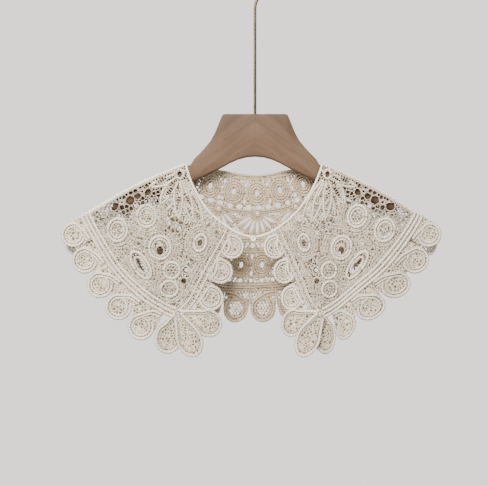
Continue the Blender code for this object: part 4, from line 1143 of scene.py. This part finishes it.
def drawBack():
    panel = Panel("backLace", 1, layBack, None, shadedBackFinishes, rise=0.0)
    half = backCurve[::2]
    neck = [Vector((-point.x, point.y)) for point in half[:0:-1]] + half
    hem = backRow(1.0, back["hemSteps"], -back["hemSpan"], back["hemSpan"])
    panel.keep += [neck + hem[::-1], bandOutline(hem, back["hemHalf"]),
                   neck + beside(neck, back["band"])[::-1]]
    for index in range(back["petals"]):
        across = (index - (back["petals"] - 1) / 2) / (back["petals"] / 2) * back["petalSpan"]
        here = backPoint(across, 1.0)
        way = wayAt(across, 1.0).normalized()
        centre = here + back["petalStep"] * Vector((-way.y, way.x))
        isEnd = index in (0, back["petals"] - 1)
        base = back["petalRadius"] * petalLook["endFootBase" if isEnd else "footBase"]
        curledPetal(panel, centre, back["petalRadius"], here, way if across > 0 else -way, base,
                    back["hemHalf"] + back["petalEdge"], back["petalLength"], leanAt(across, 1.0))
    for offset, kind in back["neckCords"]:
        panel.cord(beside(neck, offset)[3:-3], kind)
    for offset in back["hemCords"]:
        panel.cord(beside(hem[1:-1], offset), "cord")
    below, *outs = back["ridgeCord"]
    for sign in (-1.0, 1.0):
        panel.cord([Vector((sign * (cloth["neckHalf"] + out), shoulderLine(out) + below))
                    for out in range(*outs)], "cord")
    between, gapWidth, gapHeight = back["betweenOvals"]
    for row, count, halfWidth, halfHeight, holeWidth, holeHeight, shift in back["ovalRows"]:
        step = back["ovalSpan"] / (count / 2)
        for index in range(count):
            across = (index - (count - 1) / 2) * step + shift
            place, lean = backPoint(across, row), leanAt(across, row)
            panel.hole(place, holeWidth, holeHeight, lean, 6)
            for share, kind in back["ovalRings"]:
                panel.ring(place, halfWidth * share, halfHeight * share, lean, kind)
            for rise in (-between, between):
                if index < count - 1:
                    panel.hole(backPoint(across + step / 2, row + rise), gapWidth, gapHeight, lean, 5)
    for index in range(back["fans"]):
        drawFan(panel, (index - (back["fans"] - 1) / 2) * back["fanStep"] + back["fanShift"])
    for row, kind in back["cordRows"]:
        panel.cord(backRow(row, back["rowSteps"], -back["rowSpan"], back["rowSpan"]), kind,
                   clear=back["rowRoom"])
    for row, count, halfWidth, halfHeight, start, end in back["gapRows"]:
        for index in range(count):
            across = start + (end - start) * (index + 0.5) / count
            panel.hole(backPoint(across, row), halfWidth, halfHeight, leanAt(across, row), 6)
    panel.net(back["netPitch"], back["netSize"], back["netSeed"], back["netLeast"])
    names = ["back", "neck_band_back", "hem_braid_back"]
    names += [f"petal_back_{index + 1:02d}" for index in range(back["petals"])]
    panel.build(names)


drawBack()
print("back built")

# Button, hanger and hook

hanger = {
    "boardHalf": 6.0, "armClear": 0.5, "edgeWall": 2.6, "armRound": 5.0,
    # out from the middle, top, bottom, edge round
    "board": [(0.03, 51.0, 6.8, 1.6), (9.0, 51.0, 6.1, 1.6), (18.0, 51.0, 3.7, 1.6), (26.0, 51.0, 0.1, 1.6),
              (32.2, 51.0, -3.3, 1.6), (34.4, 49.6, -4.5, 1.6), (38.0, 41.0, -6.5, 1.8),
              (42.0, 31.2, -8.6, 2.0),
              (46.5, 23.0, -10.9, 2.4), (53.0, 15.2, -14.2, 3.0), (59.5, 8.6, -17.9, 4.0),
              (64.0, 4.2, -20.6, 5.0)],
    # out from the middle, depth of the arm, half thickness
    "arm": [(67.6, 21.0, 6.0), (74.0, 21.0, 6.0), (90.0, 20.5, 6.0), (108.0, 18.0, 6.0), (126.0, 15.5, 6.0),
            (142.0, 13.0, 5.6), (148.5, 9.0, 4.6)],
    "cornerSteps": 4, "flatLeft": 0.5, "sideLeft": 0.6, "sharpAngle": 32,
}
hook = {"rodRadius": 1.5, "inner": 20.0, "start": -40.0, "end": 212.0, "bendFoot": -60.0, "sides": 20,
        "top": -170.2, "bendReach": 0.4, "bendSteps": 12, "crownSteps": 48}
button = {"x": -0.6, "drop": 79.5, "radius": 2.9, "hole": 0.8, "thick": 1.8, "seat": 1.6, "sides": 24,
          "underRound": 0.5, "overRound": 0.6, "dish": (1.0, 0.5), "middleDeep": 0.9}


def meshFromRings(name, loops, isRound, finish):
    # rings of points joined in turn, round to the first one or with both ends closed
    built = bmesh.new()
    rings = [[built.verts.new(point) for point in loop] for loop in loops]
    for near, far in zip(rings, rings[1:] + rings[:1] if isRound else rings[1:]):
        for index in range(len(near)):
            after = (index + 1) % len(near)
            built.faces.new([near[index], near[after], far[after], far[index]])
    if not isRound:
        built.faces.new(rings[0])
        built.faces.new(rings[-1])
    bmesh.ops.recalc_face_normals(built, faces=built.faces)
    for face in built.faces:
        face.smooth = True
    mesh = bpy.data.meshes.new(name)
    built.to_mesh(mesh)
    built.free()
    mesh.materials.append(finish)
    return mesh


def boardSection(out, top, bottom, half, rounding):
    radius = min(rounding, (top - bottom) / 2 - hanger["flatLeft"])
    steps = hanger["cornerSteps"]
    points = []
    for number, (y, z) in enumerate(((half, top), (-half, top), (-half, bottom), (half, bottom))):
        centreY = math.copysign(half - radius, y)
        centreZ = z - radius if z == top else z + radius
        for step in range(steps + 1):
            angle = math.pi / 2 * (number + step / steps)
            points.append((out, centreY + radius * math.cos(angle), centreZ + radius * math.sin(angle)))
    return points


def buildHanger(side):
    rows = [(out, top, bottom, hanger["boardHalf"], edge) for out, top, bottom, edge in hanger["board"]]
    for out, depth, half in hanger["arm"]:
        under = (out - cloth["collarX"] - cloth["neckHalf"]) / cloth["rightStretch"]
        top = -shoulderLine(under) - hanger["edgeWall"] / 2 - hanger["armClear"]
        rows.append((out, top, top - depth, half, min(hanger["armRound"], half - hanger["sideLeft"])))
    sign = -1.0 if side == "left" else 1.0
    loops = [[mm * Vector((sign * x, y, cloth["neckZ"] + z)) for x, y, z in boardSection(*row)]
             for row in rows]
    mesh = meshFromRings(f"{side}Board", loops, False, beech)
    mesh.set_sharp_from_angle(angle=math.radians(hanger["sharpAngle"]))
    pieceFrom(f"{side}Board", [mesh], [f"hanger_{side}"])


def buildHook():
    radius = hook["inner"] + hook["rodRadius"]
    points = [Vector((0.0, 0.0, hook["top"])), Vector((0.0, 0.0, hook["bendFoot"]))]
    start = math.radians(hook["start"])
    joint = Vector((radius * math.cos(start), 0.0, radius * math.sin(start) - hook["inner"]))
    way = Vector((-math.sin(start), 0.0, math.cos(start)))
    foot = points[-1]
    reach = (joint - foot).length * hook["bendReach"]
    near, far = foot + Vector((0.0, 0.0, reach)), joint - way * reach
    for step in range(1, hook["bendSteps"]):
        t = step / hook["bendSteps"]
        points.append(foot * (1 - t) ** 3 + near * 3 * t * (1 - t) ** 2 + far * 3 * t * t * (1 - t)
                      + joint * t ** 3)
    for step in range(hook["crownSteps"] + 1):
        angle = math.radians(hook["start"] + (hook["end"] - hook["start"]) * step / hook["crownSteps"])
        points.append(Vector((radius * math.cos(angle), 0.0, radius * math.sin(angle) - hook["inner"])))
    rod = sweptCords("hookRod", [([mm * point for point in points], False)], hook["rodRadius"],
                     hook["sides"], brass)
    pieceFrom("hookRod", [rod], ["hook_rod"])


def buildButton():
    length = downTheCloth(-cloth["neckHalf"], button["drop"])
    inner, outer, thick = button["hole"], button["radius"], button["thick"]
    under, over, (dishOut, dishDeep) = button["underRound"], button["overRound"], button["dish"]
    profile = [(inner, 0.0), (outer - under, 0.0), (outer, under), (outer, thick - over),
               (outer - over, thick), (inner + dishOut, thick - dishDeep),
               (inner, thick - button["middleDeep"])]
    loops = []
    for step in range(button["sides"]):
        angle = math.tau * step / button["sides"]
        loops.append([hangPoint(button["x"] + radius * math.cos(angle), length + radius * math.sin(angle),
                                -1, button["seat"] + rise) for radius, rise in profile])
    mesh = meshFromRings("neckButton", loops, True, makeButtonShell())
    pieceFrom("neckButton", [mesh], ["neck_button"])


buildHanger("left")
buildHanger("right")
buildHook()
buildButton()
print("hanger, hook and button built")

# Camera, light and floor

shot = {"pixel": 1.05, "midPixel": (244.0, 242.5), "zeroPixel": (255.0, 163.0), "distance": 1.15,
        "floorZ": -0.80, "floorRadius": 0.45, "width": 488,
        "backdropTone": (1.62, 1.53, 1.49, 1.0), "skyTone": (0.45, 0.445, 0.44, 1.0),
        "floorTone": (0.70, 0.69, 0.67, 1.0), "floorRoughness": 0.9, "floorSides": 64,
        "sensor": 36.0, "lampAim": (0.0, 0.0, -0.3)}
lamps = [
    # name, place, size, power, colour
    ("keyLight", (-0.30, -1.12, 0.60), 0.7, 64.0, (1.0, 0.96, 0.90)),
    ("sideLight", (-1.0, -0.40, 0.10), 0.35, 12.0, (1.0, 0.955, 0.89)),
    ("fillLight", (0.95, -0.95, 0.0), 0.9, 7.0, (0.99, 0.985, 1.0)),
    ("backLight", (-0.35, 1.15, 0.70), 0.8, 26.0, (1.0, 0.97, 0.93)),
]


def makeShot():
    x = (shot["midPixel"][0] - shot["zeroPixel"][0]) * shot["pixel"] * mm
    z = (cloth["neckZ"] - (shot["midPixel"][1] - shot["zeroPixel"][1]) * shot["pixel"]) * mm
    lens = bpy.data.cameras.new("camera")
    lens.sensor_width = shot["sensor"]
    lens.lens = shot["sensor"] * shot["distance"] / (shot["width"] * shot["pixel"] * mm)
    camera = putInScene("camera", lens)
    camera.location = (x, -shot["distance"], z)
    camera.rotation_euler = (math.radians(90), 0.0, 0.0)
    bpy.context.scene.camera = camera
    for name, place, size, power, colour in lamps:
        light = bpy.data.lights.new(name, "AREA")
        light.size, light.energy, light.color = size, power, colour
        lamp = putInScene(name, light)
        lamp.location = place
        way = Vector(shot["lampAim"]) - Vector(place)
        lamp.rotation_euler = way.to_track_quat("-Z", "Y").to_euler()
    world = bpy.data.worlds.new("studio")
    bpy.context.scene.world = world
    world.use_nodes = True
    nodes, links = world.node_tree.nodes, world.node_tree.links
    sky = nodes["Background"]
    sky.inputs["Color"].default_value = shot["skyTone"]
    seen = nodes.new("ShaderNodeBackground")
    seen.inputs["Color"].default_value = shot["backdropTone"]
    mix, path = nodes.new("ShaderNodeMixShader"), nodes.new("ShaderNodeLightPath")
    links.new(path.outputs["Is Camera Ray"], mix.inputs[0])
    links.new(sky.outputs[0], mix.inputs[1])
    links.new(seen.outputs[0], mix.inputs[2])
    links.new(mix.outputs[0], nodes["World Output"].inputs["Surface"])
    disc = bmesh.new()
    bmesh.ops.create_circle(disc, cap_ends=True, segments=shot["floorSides"], radius=shot["floorRadius"],
                            matrix=Matrix.Translation((0.0, 0.0, shot["floorZ"])))
    mesh = bpy.data.meshes.new("floor")
    disc.to_mesh(mesh)
    disc.free()
    floor = putInScene("floor", mesh)
    finish = Finish("paleFloor")
    finish.set(Base_Color=shot["floorTone"], Roughness=shot["floorRoughness"])
    mesh.materials.append(finish.material)


makeShot()
print("camera and light ready")
